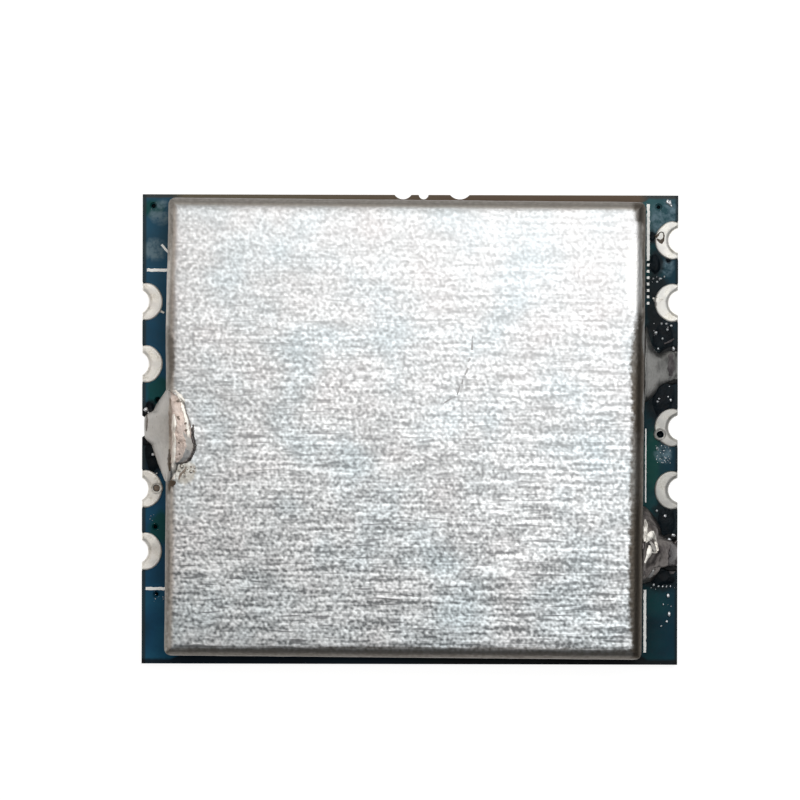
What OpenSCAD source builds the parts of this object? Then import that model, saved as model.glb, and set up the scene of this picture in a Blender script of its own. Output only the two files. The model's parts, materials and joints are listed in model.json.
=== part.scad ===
// Video transmitter module: a circuit board with plated half-holes along two edges, carrying a
// pressed tinplate shield can that is held by three hand-made solder joints.
// Millimetres. The origin is the middle of the board's underside, +Z is up, and the rows of
// half-holes run along Y.

/* [Board] */
// Width of the board, from the left row of half-holes to the right one
board_w = 21.8; // [21:0.1:30]
// Length of the board, along the rows
board_l = 19.1; // [18:0.1:28]
// Thickness of the board
board_t = 0.8; // [0.6:0.1:1.6]
// Radius of a via
via_r = 0.15; // [0.1:0.01:0.2]
// Depth of the bites that the snapped tabs left in the upper edge
bite_depth = 0.18; // [0.1:0.01:0.3]

/* [Half-holes] */
// Distance from one half-hole to the next
pitch = 2.54; // [2.2:0.01:2.8]
// How far the middle row lies above the middle of the board
row_offset = 0.1; // [-0.3:0.05:0.3]
// Finished radius of a half-hole
hole_r = 0.5; // [0.35:0.01:0.6]
// Thickness of the plating in a half-hole
plating = 0.04; // [0.02:0.01:0.08]
// Half of a land's width, and the radius of its inner end
land_r = 0.8; // [0.7:0.01:1]
// How far a land is drawn out towards the middle of the board
land_shift = 0.27; // [0.1:0.01:0.5]
// Depth of a land in the board's face
land_t = 0.05; // [0.03:0.01:0.1]
// Height of the tin on an upper land above the board
land_proud = 0.04; // [0.02:0.01:0.08]
// How far that tin stays inside the land's outline
land_inset = 0.06; // [0.02:0.01:0.1]
// How far the left edge was routed inside the centres of its holes
left_edge_offset = 0.24; // [0.05:0.01:0.3]
// How far the right edge was routed inside the centres of its holes
right_edge_offset = 0.12; // [0.05:0.01:0.3]

/* [Shield can] */
// Height of the can above the board
can_h = 2.2; // [1.8:0.1:4]
// Thickness of the tinplate
sheet_t = 0.2; // [0.1:0.01:0.3]
// Inside radius of the bend round the top
bend_in = 0.25; // [0.1:0.01:0.5]
// Outside radius of the upright corners
corner_r = 0.3; // [0.25:0.01:0.6]
// Bare board between the left lands and the can
gap_left = 0.22; // [0.18:0.01:0.6]
// Bare board between the right lands and the can
gap_right = 0.5; // [0.18:0.01:0.8]
// Bare board between the bites of the upper edge and the can
gap_upper = 0.08; // [0.05:0.01:0.4]
// Bare board between the lower edge and the can
gap_lower = 0.34; // [0.2:0.01:0.6]
// Clockwise turn of the can from its true place, in degrees
can_skew = 0.4; // [-0.6:0.1:0.6]

/* [Solder joints] */
// Left joint: length along the can's wall above its half-hole
left_up = 1.7; // [1:0.1:2]
// Left joint: length along the wall below its half-hole
left_down = 2.3; // [1:0.1:2.4]
// Left joint: how far its fan spreads over the board beside the wall
left_fan = 0.7; // [0.3:0.05:0.8]
// Left joint: how far it laps over the top of the can
left_lap = 0.9; // [0.4:0.05:1.8]
// Left joint: its height above the top of the can
left_crown = 0.16; // [0.08:0.01:0.4]
// Upper right joint: length along the wall above its half-hole
upper_up = 2.3; // [1:0.1:2.4]
// Upper right joint: length along the wall below its half-hole
upper_down = 1.5; // [1:0.1:2.4]
// Upper right joint: how far its fan spreads over the board beside the wall
upper_fan = 0.5; // [0.3:0.05:0.8]
// Upper right joint: how far its crest stays below the top of the can
upper_drop = 0.5; // [0.3:0.05:1]
// Lower right joint: length along the wall above its half-hole
lower_up = 1.9; // [1:0.1:2.4]
// Lower right joint: length along the wall below its half-hole
lower_down = 1.3; // [1:0.1:2.4]
// Lower right joint: how far its mound spreads over the board beside the wall
lower_fan = 0.9; // [0.5:0.05:1]
// Lower right joint: how far its crest stays below the top of the can
lower_drop = 0.35; // [0.2:0.05:1]
// Half of the width of a joint's foot, which runs out to the half-hole
foot_half = 0.62; // [0.4:0.01:0.8]
// Height of the underside of the solder in a filled half-hole
plug_lift = 0.15; // [0.05:0.01:0.3]

/* [Components] */
// Side of the transmitter chip
tx_side = 6; // [5:0.1:7]
// Height of the transmitter chip
tx_h = 0.85; // [0.6:0.05:1]
// Side of the amplifier chip
amp_side = 3; // [2.5:0.1:4]
// Height of the amplifier chip
amp_h = 0.75; // [0.6:0.05:1]
// Length of the crystal
xtal_l = 3.2; // [2.5:0.1:4]
// Width of the crystal
xtal_w = 2.5; // [2:0.1:3]
// Height of the crystal's ceramic base
xtal_base_h = 0.5; // [0.4:0.05:0.7]
// Height of the crystal's metal lid
xtal_lid_h = 0.25; // [0.15:0.05:0.4]
// Length of the regulator's body
reg_l = 2.9; // [2.4:0.1:3.2]
// Width of the regulator's body
reg_w = 1.6; // [1.4:0.1:2]
// Height of the regulator
reg_h = 1.1; // [0.9:0.05:1.3]
// Length of a regulator lead beyond the body
reg_lead_l = 0.6; // [0.5:0.05:0.8]
// Length of a small chip part
small_l = 1; // [0.8:0.05:1.2]
// Width of a small chip part
small_w = 0.5; // [0.4:0.05:0.6]
// Height of a small chip part
small_h = 0.5; // [0.3:0.05:0.7]
// Length of a medium chip part
medium_l = 1.6; // [1.4:0.05:1.9]
// Width of a medium chip part
medium_w = 0.8; // [0.6:0.05:1]
// Height of a medium chip part
medium_h = 0.8; // [0.4:0.05:1]
// Length of a large chip part
large_l = 2; // [1.8:0.05:2.4]
// Width of a large chip part
large_w = 1.25; // [1:0.05:1.6]
// Height of a large chip part
large_h = 0.9; // [0.5:0.05:1.25]
// Length of the metal band on each end of a chip part
end_band = 0.22; // [0.15:0.01:0.3]
// Space between the outer parts and the can's side walls
side_gap = 1.2; // [0.4:0.05:1.6]
// Space between the outer rows of parts and the can's end walls
end_gap = 1; // [0.4:0.05:1.6]

/* [Hidden] */
$fn = 48;

// A cut reaches this far past the face that it opens
past_face = 1;

// Half-holes, named from the upper edge down: each number counts pitches from the middle row
left_rows = [2, 1, 0, -1, -2];
right_rows = [3, 2, 1, 0, -1, -2];
// The rows whose half-holes are soldered to the can
left_joint_row = 0;
upper_joint_row = 1;
lower_joint_row = -2;

// Vias in bare board: side, distance in from that edge in land radii, and place along the rows
vias = [[-1, 0.8, 0.42], [-1, 0.75, -2.69], [-1, 0.69, -1.61]];
// Vias at the upper corners: side, distance in from that edge in land radii
corner_vias = [[-1, 0.55], [1, 1]];
corner_via_offset = 0.47;
// Vias through a land: side, row, and distance above that row in land radii
land_vias = [[-1, -1, 0.04], [1, 0, -0.34]];
// Distance of such a via from the middle of the land's round end, and width of the tin round it
land_via_offset = 0.56;
land_via_ring_w = 0.15;
// Bites of the snapped tabs: place along the edge in pitches, half of the width in bite depths
bites = [[-0.12, 1.9], [0.21, 1.1], [0.79, 2.2]];

// The can stands clear of the lands and of the bites
can_left = -board_w / 2 + land_reach(-1) + gap_left;
can_right = board_w / 2 - land_reach(1) - gap_right;
can_upper = board_l / 2 - bite_depth - gap_upper;
can_lower = -board_l / 2 + gap_lower;
can_w = can_right - can_left;
can_l = can_upper - can_lower;
can_x = (can_left + can_right) / 2;
can_y = (can_upper + can_lower) / 2;

// How fast a solder joint's fan, crest and lap shrink towards its two ends, how hollow its side is
// (under a half it is a hollow fillet, and over a half it bulges), how far out from the wall its
// side ends, how fast that shrinks, at which share of the height it ends, and how deep the rest
// goes behind the wall
lapped_form = [1, 0.05, 0.9, 0.7, -0.26, 0.7, 0.965, 0.35];
fillet_form = [4, 0.45, 0.9, 0.4, 0.1, 4, 0.85, 0.1];
mound_form = [0.55, 0.4, 0.9, 0.66, 0.1, 0.55, 0.85, 0.1];
foot_power = 0.35;
// Where along the joint its lap reaches furthest, and where it ends, as shares of its half length
lap_peak = -0.5;
lap_end = -0.76;
// Sections along a joint, and the share of its half length where the last one lies
section_count = 24;
end_share = 0.97;
// Smallest size of an end section, thickness of the thin edge, and depth of the foot behind the wall
solder_tip = 0.03;
solder_toe = 0.05;
solder_heel = 0.2;
// Points along the fillet and over the crest
fillet_steps = 7;
crest_steps = 5;
// Lumps of the lower right joint, in lump radii: out from the wall, along it, up, radius
lump_r = 0.5;
lumps = [[0.2, 1.6, 2.1, 1.1], [0.4, 0.2, 2, 1.04], [0.6, -1, 1.2, 0.9]];

// Details of the parts under the can
terminal_w = 0.25;
terminal_t = 0.2;
terminal_proud = 0.03;
tx_count = 10;
tx_pitch = 0.5;
amp_count = 4;
amp_pitch = 0.5;
dimple_r = 0.2;
dimple_depth = 0.08;
dimple_inset = 0.55;
lid_inset = 0.2;
notch_r = 0.2;
lead_t = 0.13;
lead_w = 0.4;
lead_pitch = 0.95;
reg_lift = 0.1;
reg_draft = 0.08;
band_proud = 0.02;
resistor_h = 0.35;
film_t = 0.03;
turns = 6;

// Parts under the can, in rows from the lower edge to the upper one, each from left to right:
// name, kind, and its turn on the board in degrees
rows = [
  [["channel_resistor_1", "small_resistor", 0], ["channel_resistor_2", "small_resistor", 0],
   ["channel_resistor_3", "small_resistor", 0], ["decoupling_capacitor_1", "small_capacitor", 90],
   ["decoupling_capacitor_2", "small_capacitor", 90],
   ["audio_coupling_capacitor_1", "medium_capacitor", 0],
   ["audio_coupling_capacitor_2", "medium_capacitor", 0]],
  [["supply_input_capacitor", "large_capacitor", 0], ["supply_bead", "bead", 0],
   ["voltage_regulator", "regulator", 0], ["supply_output_capacitor", "large_capacitor", 0],
   ["amplifier_choke", "medium_inductor", 0], ["decoupling_capacitor_3", "small_capacitor", 90],
   ["decoupling_capacitor_4", "small_capacitor", 90]],
  [["transmitter_chip", "transmitter", 0], ["matching_capacitor_1", "small_capacitor", 90],
   ["matching_inductor_1", "small_inductor", 90], ["power_amplifier_chip", "amplifier", 0],
   ["matching_inductor_2", "small_inductor", 90], ["matching_capacitor_2", "small_capacitor", 90],
   ["harmonic_filter", "filter", 0]],
  [["video_coupling_capacitor", "large_capacitor", 0], ["video_termination_resistor", "medium_resistor", 0],
   ["loop_filter_capacitor_1", "medium_capacitor", 0], ["loop_filter_resistor", "small_resistor", 0],
   ["loop_filter_capacitor_2", "small_capacitor", 0], ["crystal_load_capacitor_1", "small_capacitor", 90],
   ["reference_crystal", "crystal", 0], ["crystal_load_capacitor_2", "small_capacitor", 90]],
];

// Places of the half-holes
function edge_offset(side) = side < 0 ? left_edge_offset : right_edge_offset;
function land_reach(side) = land_shift + land_r - edge_offset(side);
function hole_y(row) = row_offset + pitch * row;

// Puts a shape at a half-hole: its x runs from the hole's centre towards the middle of the board
module at_hole(side, row)
  translate([side * (board_w / 2 + edge_offset(side)), hole_y(row), 0])
    mirror([side > 0 ? 1 : 0, 0, 0])
      children();

// Puts a drawing at each via that passes through a land
module at_land_vias(side, row)
  for (via = land_vias)
    if (via[0] == side && via[1] == row)
      translate([land_shift + land_via_offset, via[2] * land_r])
        children();

// Drawing of a land, or of the tin that stays inside its outline: drawn out from the hole, and
// wider round a via
module land_outline(side, row, inset) {
  r = land_r - inset;
  translate([land_shift, 0])
    circle(r);
  translate([0, -r])
    square([land_shift, 2 * r]);
  at_land_vias(side, row)
    circle(via_r + land_via_ring_w - inset);
}

// Metal of a half-hole: a drawing that ends at the routed edge, the hole and the vias
module metal(side, row, h)
  linear_extrude(h)
    difference() {
      intersection() {
        children();
        translate([edge_offset(side), -pitch / 2])
          square(pitch);
      }
      circle(hole_r);
      at_land_vias(side, row)
        circle(via_r);
    }

// The tin of an upper land, which stands on the board
module raised_tin(side, row)
  translate([0, 0, board_t - land_t])
    metal(side, row, land_t + land_proud)
      land_outline(side, row, land_inset);

module hole_bore(r)
  translate([0, 0, -past_face])
    cylinder(r = r, h = board_t + 2 * past_face);

// Everything inside the routed outline of the board
module board_outline(h)
  translate([-board_w / 2, -board_l / 2, 0])
    cube([board_w, board_l, h]);

// A shallow round bite, from the chord that it takes out of the edge
module snapped_bite(x, half_width) {
  r = (half_width * half_width + bite_depth * bite_depth) / (2 * bite_depth);
  translate([x, board_l / 2 + r - bite_depth, 0])
    hole_bore(r);
}

module circuit_board()
  color([0.08, 0.22, 0.28])
    difference() {
      board_outline(board_t);
      for (row = left_rows)
        at_hole(-1, row)
          board_pocket(-1, row);
      for (row = right_rows)
        at_hole(1, row)
          board_pocket(1, row);
      for (via = vias)
        translate([via[0] * (board_w / 2 - via[1] * land_r), hole_y(via[2]), 0])
          hole_bore(via_r);
      for (via = corner_vias)
        translate([via[0] * (board_w / 2 - via[1] * land_r), board_l / 2 - corner_via_offset, 0])
          hole_bore(via_r);
      for (bite = bites)
        snapped_bite(bite[0] * pitch, bite[1] * bite_depth);
    }

// What one plated half-hole takes out of the board
module board_pocket(side, row) {
  for (z = [-past_face, board_t - land_t])
    translate([0, 0, z])
      linear_extrude(past_face + land_t)
        land_outline(side, row, 0);
  hole_bore(hole_r + plating);
  at_land_vias(side, row)
    hole_bore(via_r);
}

// One plated half-hole: the upper land, the half barrel and the lower land, in one piece
module pad(side, row)
  color([0.83, 0.82, 0.78])
    at_hole(side, row) {
      metal(side, row, board_t)
        circle(hole_r + plating);
      for (z = [0, board_t - land_t])
        translate([0, 0, z])
          metal(side, row, land_t)
            land_outline(side, row, 0);
      raised_tin(side, row);
    }

// Places of the can: its own frame is turned a little on the board
module in_can()
  translate([can_x, can_y, board_t])
    rotate([0, 0, -can_skew])
      children();

// A block with upright rounded corners and bends along its top, which meet in mitres
module pressed_block(w, l, h, corner, bend)
  intersection() {
    rotate([90, 0, 0])
      linear_extrude(l, center = true)
        bent_profile(w, h, bend);
    rotate([90, 0, 90])
      linear_extrude(w, center = true)
        bent_profile(l, h, bend);
    rounded_plate(w, l, h, corner);
  }

// Upright section through such a block
module bent_profile(w, h, bend) {
  translate([-w / 2, 0])
    square([w, h - bend]);
  translate([-w / 2 + bend, 0])
    square([w - 2 * bend, h]);
  for (x = [-1, 1])
    translate([x * (w / 2 - bend), h - bend])
      circle(bend);
}

module can_outside()
  in_can()
    pressed_block(can_w, can_l, can_h, corner_r, bend_in + sheet_t);

module shield_can()
  color([0.78, 0.79, 0.79])
    difference() {
      can_outside();
      in_can()
        pressed_block(can_w - 2 * sheet_t, can_l - 2 * sheet_t, can_h - sheet_t, corner_r - sheet_t, bend_in);
    }

// A point on a curve that bends towards its middle control point
function bend_point(a, b, c, t) = (1 - t) * (1 - t) * a + 2 * t * (1 - t) * b + t * t * c;

// How full a joint is at share s of its length, which runs from -1 to 1
function fullness(s, power) = pow(cos(90 * s), power);

// How full the joint's foot is at a distance along the wall
function foot_fullness(along) = fullness(min(abs(along) / foot_half, 1), foot_power);

// How full its lap over the can is, which widens slowly to its peak and then ends
function lap_fullness(s, power) =
  s > lap_peak ? fullness((s - lap_peak) / (1 - lap_peak), power)
  : fullness(min((lap_peak - s) / (lap_peak - lap_end), 1), power / 2);

// Section through a solder joint, as distance out from the wall and height above the board:
// along the board, up the side, over the crest and back behind the wall
function solder_section(s, along, fan, reach, crest, lap, crown, form) =
  let (
    out = solder_tip + fan * fullness(s, form[0]) + (reach - fan) * foot_fullness(along),
    top = solder_toe + crest * fullness(s, form[1]),
    over = form[7] + lap * lap_fullness(s, form[2]),
    brow_out = solder_tip + form[4] * fullness(s, form[5]),
    toe = [out, solder_toe],
    hollow = [out * form[3], top * form[3]],
    brow_point = [brow_out, top * form[6]],
    crest_point = [brow_out, top + crown / 2],
    rim = [-over, top - crown / 2]
  )
  concat(
    [[-solder_heel, 0], [out, 0]],
    [for (i = [0 : fillet_steps]) bend_point(toe, hollow, brow_point, i / fillet_steps)],
    [for (i = [1 : crest_steps]) bend_point(brow_point, crest_point, rim, i / crest_steps)],
    [[-over, top - 2 * crown]]
  );

// A solder joint from the board to the wall: sections lofted along the wall
module solder_loft(up, down, fan, reach, crest, lap, crown, form) {
  shares = [for (i = [0 : section_count]) end_share * (2 * i / section_count - 1)];
  places = [for (s = shares) s > 0 ? s * up : s * down];
  sections = [
    for (i = [0 : section_count])
      solder_section(shares[i], places[i], fan, reach, crest, lap, crown, form)
  ];
  count = len(sections[0]);
  points = [for (i = [0 : section_count], p = sections[i]) [p[0], places[i], p[1]]];
  first = [for (j = [0 : count - 1]) count - 1 - j];
  last = [for (j = [0 : count - 1]) section_count * count + j];
  skin = [
    for (i = [0 : section_count - 1], j = [0 : count - 1])
      [i * count + j, i * count + (j + 1) % count,
       (i + 1) * count + (j + 1) % count, (i + 1) * count + j]
  ];
  polyhedron(points, concat([first, last], skin));
}

// Puts a shape on the can's wall beside a half-hole: its x runs out from the wall
module at_wall(side, row)
  in_can()
    translate([side * can_w / 2, hole_y(row) - can_y + side * can_w / 2 * sin(can_skew), 0])
      mirror([side < 0 ? 1 : 0, 0, 0])
        children();

// A joint's own shape, with the solder that filled its half-hole, set against board, land and can
module solder_joint(side, row)
  color([0.7, 0.68, 0.65])
    difference() {
      intersection() {
        union() {
          at_wall(side, row)
            children();
          at_hole(side, row)
            translate([0, 0, plug_lift])
              cylinder(r = hole_r, h = board_t + land_proud - plug_lift);
        }
        board_outline(board_t + 2 * can_h);
      }
      can_outside();
      at_hole(side, row)
        raised_tin(side, row);
    }

function strip(side) = land_reach(side) + (side < 0 ? gap_left : gap_right);

module solder_left()
  solder_joint(-1, left_joint_row)
    solder_loft(left_up, left_down, left_fan, strip(-1), can_h + left_crown, left_lap, left_crown,
      lapped_form);

module solder_right_upper()
  solder_joint(1, upper_joint_row)
    solder_loft(upper_up, upper_down, upper_fan, strip(1), can_h - upper_drop, 0, solder_toe,
      fillet_form);

module solder_right_lower()
  solder_joint(1, lower_joint_row) {
    solder_loft(lower_up, lower_down, lower_fan, strip(1), can_h - lower_drop, 0, solder_toe,
      mound_form);
    for (lump = lumps)
      translate([lump[0], lump[1], lump[2]] * lump_r)
        sphere(lump[3] * lump_r);
  }

// Sizes of the parts under the can
function kind_size(kind) =
  kind == "transmitter" ? [tx_side, tx_side, tx_h] :
  kind == "amplifier" ? [amp_side, amp_side, amp_h] :
  kind == "crystal" ? [xtal_l, xtal_w, xtal_base_h + xtal_lid_h] :
  kind == "regulator" ? [reg_l, reg_w + 2 * reg_lead_l, reg_h] :
  kind == "filter" || kind == "bead" || kind == "large_capacitor" ? [large_l, large_w, large_h] :
  kind == "medium_resistor" ? [medium_l, medium_w, resistor_h] :
  kind == "small_resistor" ? [small_l, small_w, resistor_h] :
  kind == "medium_capacitor" || kind == "medium_inductor" ? [medium_l, medium_w, medium_h] :
  [small_l, small_w, small_h];

// Where they stand: each row is spread evenly between the can's side walls, and the rows are
// spread evenly between its end walls
function part_span(part, axis) = kind_size(part[1])[part[2] == 90 ? 1 - axis : axis];
function spans(row) = [for (part = row) part_span(part, 0)];
function total(values, n) = n == 0 ? 0 : values[n - 1] + total(values, n - 1);
function spread(values, i, room) =
  total(values, i) + values[i] / 2 - room / 2
  + i * (room - total(values, len(values))) / (len(values) - 1);
depths = [for (row = rows) max([for (part = row) part_span(part, 1)])];
parts_w = can_w - 2 * (sheet_t + side_gap);
parts_l = can_l - 2 * (sheet_t + end_gap);

// Leadless chip: moulded body, a row of terminals along each side, and a dimple at terminal one
module leadless_chip(side, h, count, spacing) {
  color([0.12, 0.12, 0.13])
    difference() {
      translate([-side / 2, -side / 2, 0])
        cube([side, side, h]);
      translate([dimple_inset - side / 2, side / 2 - dimple_inset, h - dimple_depth])
        cylinder(r = dimple_r, h = past_face);
    }
  color([0.8, 0.78, 0.7])
    for (turn = [0 : 90 : 270], i = [0 : count - 1])
      rotate(turn)
        translate([side / 2 - terminal_w, (i - (count - 1) / 2) * spacing - terminal_w / 2, 0])
          cube([terminal_w + terminal_proud, terminal_w, terminal_t]);
}

// Crystal: ceramic base with notched corners under a metal lid with rounded corners
module crystal() {
  color([0.75, 0.72, 0.65])
    difference() {
      translate([-xtal_l / 2, -xtal_w / 2, 0])
        cube([xtal_l, xtal_w, xtal_base_h]);
      for (x = [-1, 1], y = [-1, 1])
        translate([x * xtal_l / 2, y * xtal_w / 2, 0])
          hole_bore(notch_r);
    }
  color([0.82, 0.8, 0.72])
    translate([0, 0, xtal_base_h])
      rounded_plate(xtal_l - 2 * lid_inset, xtal_w - 2 * lid_inset, xtal_lid_h, notch_r);
}

module rounded_plate(w, l, h, r) {
  for (x = [-1, 1], y = [-1, 1])
    translate([x * (w / 2 - r), y * (l / 2 - r), 0])
      cylinder(r = r, h = h);
  translate([-w / 2, -l / 2 + r, 0])
    cube([w, l - 2 * r, h]);
  translate([-w / 2 + r, -l / 2, 0])
    cube([w - 2 * r, l, h]);
}

// Regulator: moulded body with drafted sides, three bent leads on one side and two on the other
module regulator() {
  middle = (reg_h + reg_lift) / 2;
  color([0.12, 0.12, 0.13])
    rotate([90, 0, 90])
      linear_extrude(reg_l, center = true)
        polygon([
          [-reg_w / 2 + reg_draft, reg_lift], [reg_w / 2 - reg_draft, reg_lift],
          [reg_w / 2, middle], [reg_w / 2 - reg_draft, reg_h],
          [-reg_w / 2 + reg_draft, reg_h], [-reg_w / 2, middle],
        ]);
  color([0.8, 0.8, 0.78]) {
    for (i = [-1 : 1])
      translate([i * lead_pitch, -reg_w / 2, 0])
        rotate(180)
          bent_lead(middle);
    for (i = [-1, 1])
      translate([i * lead_pitch, reg_w / 2, 0])
        bent_lead(middle);
  }
}

// A lead that leaves the body at its middle height, steps down and ends in a flat foot
module bent_lead(leave) {
  knee = reg_lead_l / 3;
  rotate([90, 0, 90])
    linear_extrude(lead_w, center = true)
      polygon([
        [-lead_t, leave - lead_t / 2], [knee - lead_t, leave - lead_t / 2], [knee - lead_t, 0],
        [reg_lead_l, 0], [reg_lead_l, lead_t], [knee, lead_t], [knee, leave + lead_t / 2],
        [-lead_t, leave + lead_t / 2],
      ]);
}

// Metal bands on the two ends of a chip part, a little proud of its body
module end_bands(l, w, h)
  color([0.82, 0.82, 0.8])
    for (x = [-1, 1])
      translate([x * (l - end_band) / 2 - end_band / 2, -w / 2, 0])
        cube([end_band, w, h]);

module chip_body(l, w, h)
  translate([-l / 2 + band_proud, -w / 2 + band_proud, 0])
    cube([l - 2 * band_proud, w - 2 * band_proud, h - band_proud]);

module capacitor(l, w, h, tint) {
  color(tint)
    chip_body(l, w, h);
  end_bands(l, w, h);
}

// Resistor: white body, bands on its ends and a dark film between them
module resistor(l, w) {
  color([0.85, 0.85, 0.82])
    chip_body(l, w, resistor_h);
  color([0.1, 0.1, 0.1])
    translate([-l / 2 + end_band, -w / 2 + band_proud, 0])
      cube([l - 2 * end_band, w - 2 * band_proud, resistor_h - band_proud + film_t]);
  end_bands(l, w, resistor_h);
}

// Wound inductor: a core between two ends, with turns of wire side by side
module inductor(l, w, h) {
  room = l - 2 * end_band;
  wire_r = room / turns / 2;
  color([0.55, 0.35, 0.2])
    for (i = [0 : turns - 1])
      translate([-room / 2 + (2 * i + 1) * wire_r, 0, 0])
        rotate([0, 90, 0])
          translate([-h / 2, 0, 0])
            rotate_extrude()
              translate([min(w, h) / 2 - band_proud - wire_r, 0])
                circle(wire_r);
  color([0.3, 0.3, 0.32])
    translate([-l / 2 + end_band / 2, 0, h / 2])
      rotate([0, 90, 0])
        cylinder(r = min(w, h) / 2 - band_proud - wire_r, h = l - end_band);
  end_bands(l, w, h);
}

// Ceramic filter: bands on its ends and a ground band round its middle
module ceramic_filter(l, w, h) {
  capacitor(l, w, h, [0.75, 0.78, 0.8]);
  color([0.82, 0.82, 0.8])
    translate([-end_band, -w / 2, 0])
      cube([2 * end_band, w, h]);
}

// Draws the part of a kind, with its foot on the board and its length along x
module part_of_kind(kind) {
  size = kind_size(kind);
  if (kind == "transmitter") leadless_chip(size[0], size[2], tx_count, tx_pitch);
  else if (kind == "amplifier") leadless_chip(size[0], size[2], amp_count, amp_pitch);
  else if (kind == "crystal") crystal();
  else if (kind == "regulator") regulator();
  else if (kind == "filter") ceramic_filter(size[0], size[1], size[2]);
  else if (kind == "bead") capacitor(size[0], size[1], size[2], [0.22, 0.22, 0.24]);
  else if (kind == "small_resistor" || kind == "medium_resistor") resistor(size[0], size[1]);
  else if (kind == "small_inductor" || kind == "medium_inductor") inductor(size[0], size[1], size[2]);
  else capacitor(size[0], size[1], size[2], [0.6, 0.48, 0.36]);
}

// Stands part i of row r in its place on the board
module component(r, i)
  translate([can_x + spread(spans(rows[r]), i, parts_w), can_y + spread(depths, r, parts_l), board_t])
    rotate(rows[r][i][2])
      part_of_kind(rows[r][i][1]);

circuit_board();
shield_can();
solder_left();
solder_right_upper();
solder_right_lower();
for (i = [1 : len(left_rows)])
  pad(-1, left_rows[i - 1]);
for (i = [1 : len(right_rows)])
  pad(1, right_rows[i - 1]);
for (r = [0 : len(rows) - 1], i = [0 : len(rows[r]) - 1])
  component(r, i);
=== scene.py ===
"""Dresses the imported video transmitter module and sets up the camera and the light.

Lengths are millimetres in the frame of the CAD model, and become metres where a mesh is made.
"""
import json
import math
import random
from contextlib import contextmanager

import bmesh
import bpy
from mathutils import Matrix, Vector, noise
from mathutils.bvhtree import BVHTree

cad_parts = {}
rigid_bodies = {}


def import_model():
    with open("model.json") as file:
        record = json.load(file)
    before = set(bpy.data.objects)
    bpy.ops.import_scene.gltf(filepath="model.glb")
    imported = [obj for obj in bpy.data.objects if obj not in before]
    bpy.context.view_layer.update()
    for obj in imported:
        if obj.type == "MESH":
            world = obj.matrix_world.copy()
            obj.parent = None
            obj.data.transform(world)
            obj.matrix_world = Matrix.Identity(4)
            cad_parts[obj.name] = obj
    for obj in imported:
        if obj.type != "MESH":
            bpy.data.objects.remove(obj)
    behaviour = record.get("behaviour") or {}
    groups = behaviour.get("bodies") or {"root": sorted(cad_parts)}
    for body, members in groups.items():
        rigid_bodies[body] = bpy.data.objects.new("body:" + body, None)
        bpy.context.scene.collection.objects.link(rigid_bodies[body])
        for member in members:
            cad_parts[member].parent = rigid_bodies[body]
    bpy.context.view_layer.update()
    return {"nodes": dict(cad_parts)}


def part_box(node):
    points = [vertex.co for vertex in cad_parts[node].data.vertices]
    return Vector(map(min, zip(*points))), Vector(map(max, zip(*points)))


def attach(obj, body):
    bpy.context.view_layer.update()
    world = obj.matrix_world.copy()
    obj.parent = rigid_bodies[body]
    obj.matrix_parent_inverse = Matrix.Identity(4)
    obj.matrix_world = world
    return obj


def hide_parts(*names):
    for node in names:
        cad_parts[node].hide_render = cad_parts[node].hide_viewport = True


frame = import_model()

MM = 0.001

# Sizes of the half-holes and their lands
HOLE_R = 0.5
PLATING = 0.04
LAND_R = 0.8
LAND_SHIFT = 0.27
LAND_T = 0.05
TIN_H = 0.06
TIN_EDGE = 0.06
RIM_W = 0.12
RIM_DROP = 0.03
EDGE_OFFSET = {-1: 0.24, 1: 0.12}
VIA_R = 0.15
VIA_RING_R = 0.27
VIA_RING_H = 1.4 * TIN_H
VIA_FROM_HOLE = 0.83
VIA_LAP = 0.004

# Middles of the vias and radii of what the mask leaves open of them
VIAS = (
    ((-10.46, 9.08), 0.09), ((10.1, 9.08), 0.08), ((-10.26, 1.17), 0.1), ((-10.3, -6.73), 0.08),
    ((-10.35, -3.99), 0.08), ((-10.31, -2.41), 0.12), ((10.19, -0.17), 0.12),
)
RESIN_VIA = (-10.31, -2.41)

# Sizes of the can
CAN_SKEW = math.radians(0.4)
SHEET_T = 0.2
CORNER_R = 0.3
BEND_R = 0.45
MITRE_R = 0.03

# Painted shade on the can's walls and bends, a painted highlight on its right bend, and solder that wetted
# them: middle, radii and strength
BEND_SHADE = (
    ((9.37, 2.2, 2.8), (0.48, 2.6, 1.4), 0.9),
    ((9.37, -3.6, 2.8), (0.5, 7.0, 1.5), 0.85),
    ((9.32, -6.2, 2.8), (0.5, 3.6, 1.5), 0.85),
    ((9.49, 9.0, 2.8), (0.5, 0.75, 1.4), 0.85),
    ((9.58, 6.6, 2.4), (0.25, 3.0, 1.3), 0.9),
    ((-10.0, -1.9, 2.7), (0.45, 0.9, 1.4), 0.6),
    ((-9.97, -5.6, 2.2), (0.31, 4.4, 1.8), 0.65),
    ((-9.84, 2.8, 2.75), (0.33, 1.3, 1.3), 0.6),
    ((-9.6, 4.0, 2.95), (0.2, 1.8, 0.5), 0.28),
    ((-9.9, 8.3, 2.2), (0.33, 1.7, 1.8), 0.55),
    ((0.0, -9.15, 2.95), (14.0, 0.4, 0.4), 0.63),
    ((0.0, 9.22, 2.95), (14.0, 0.46, 0.4), 0.3),
)
PAINTED_HIGHLIGHTS = (((9.04, 6.3, 2.95), (0.36, 1.5, 0.3), 0.85),)
TARNISH = (((-9.08, -1.7, 3.0), (0.45, 0.5, 0.3), 0.5),)
WETTED = (
    ((9.5, 3.75, 2.5), (0.2, 0.75, 0.5), 0.9),
    ((9.5, 1.0, 2.4), (0.17, 0.75, 0.5), 0.8),
)

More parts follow.
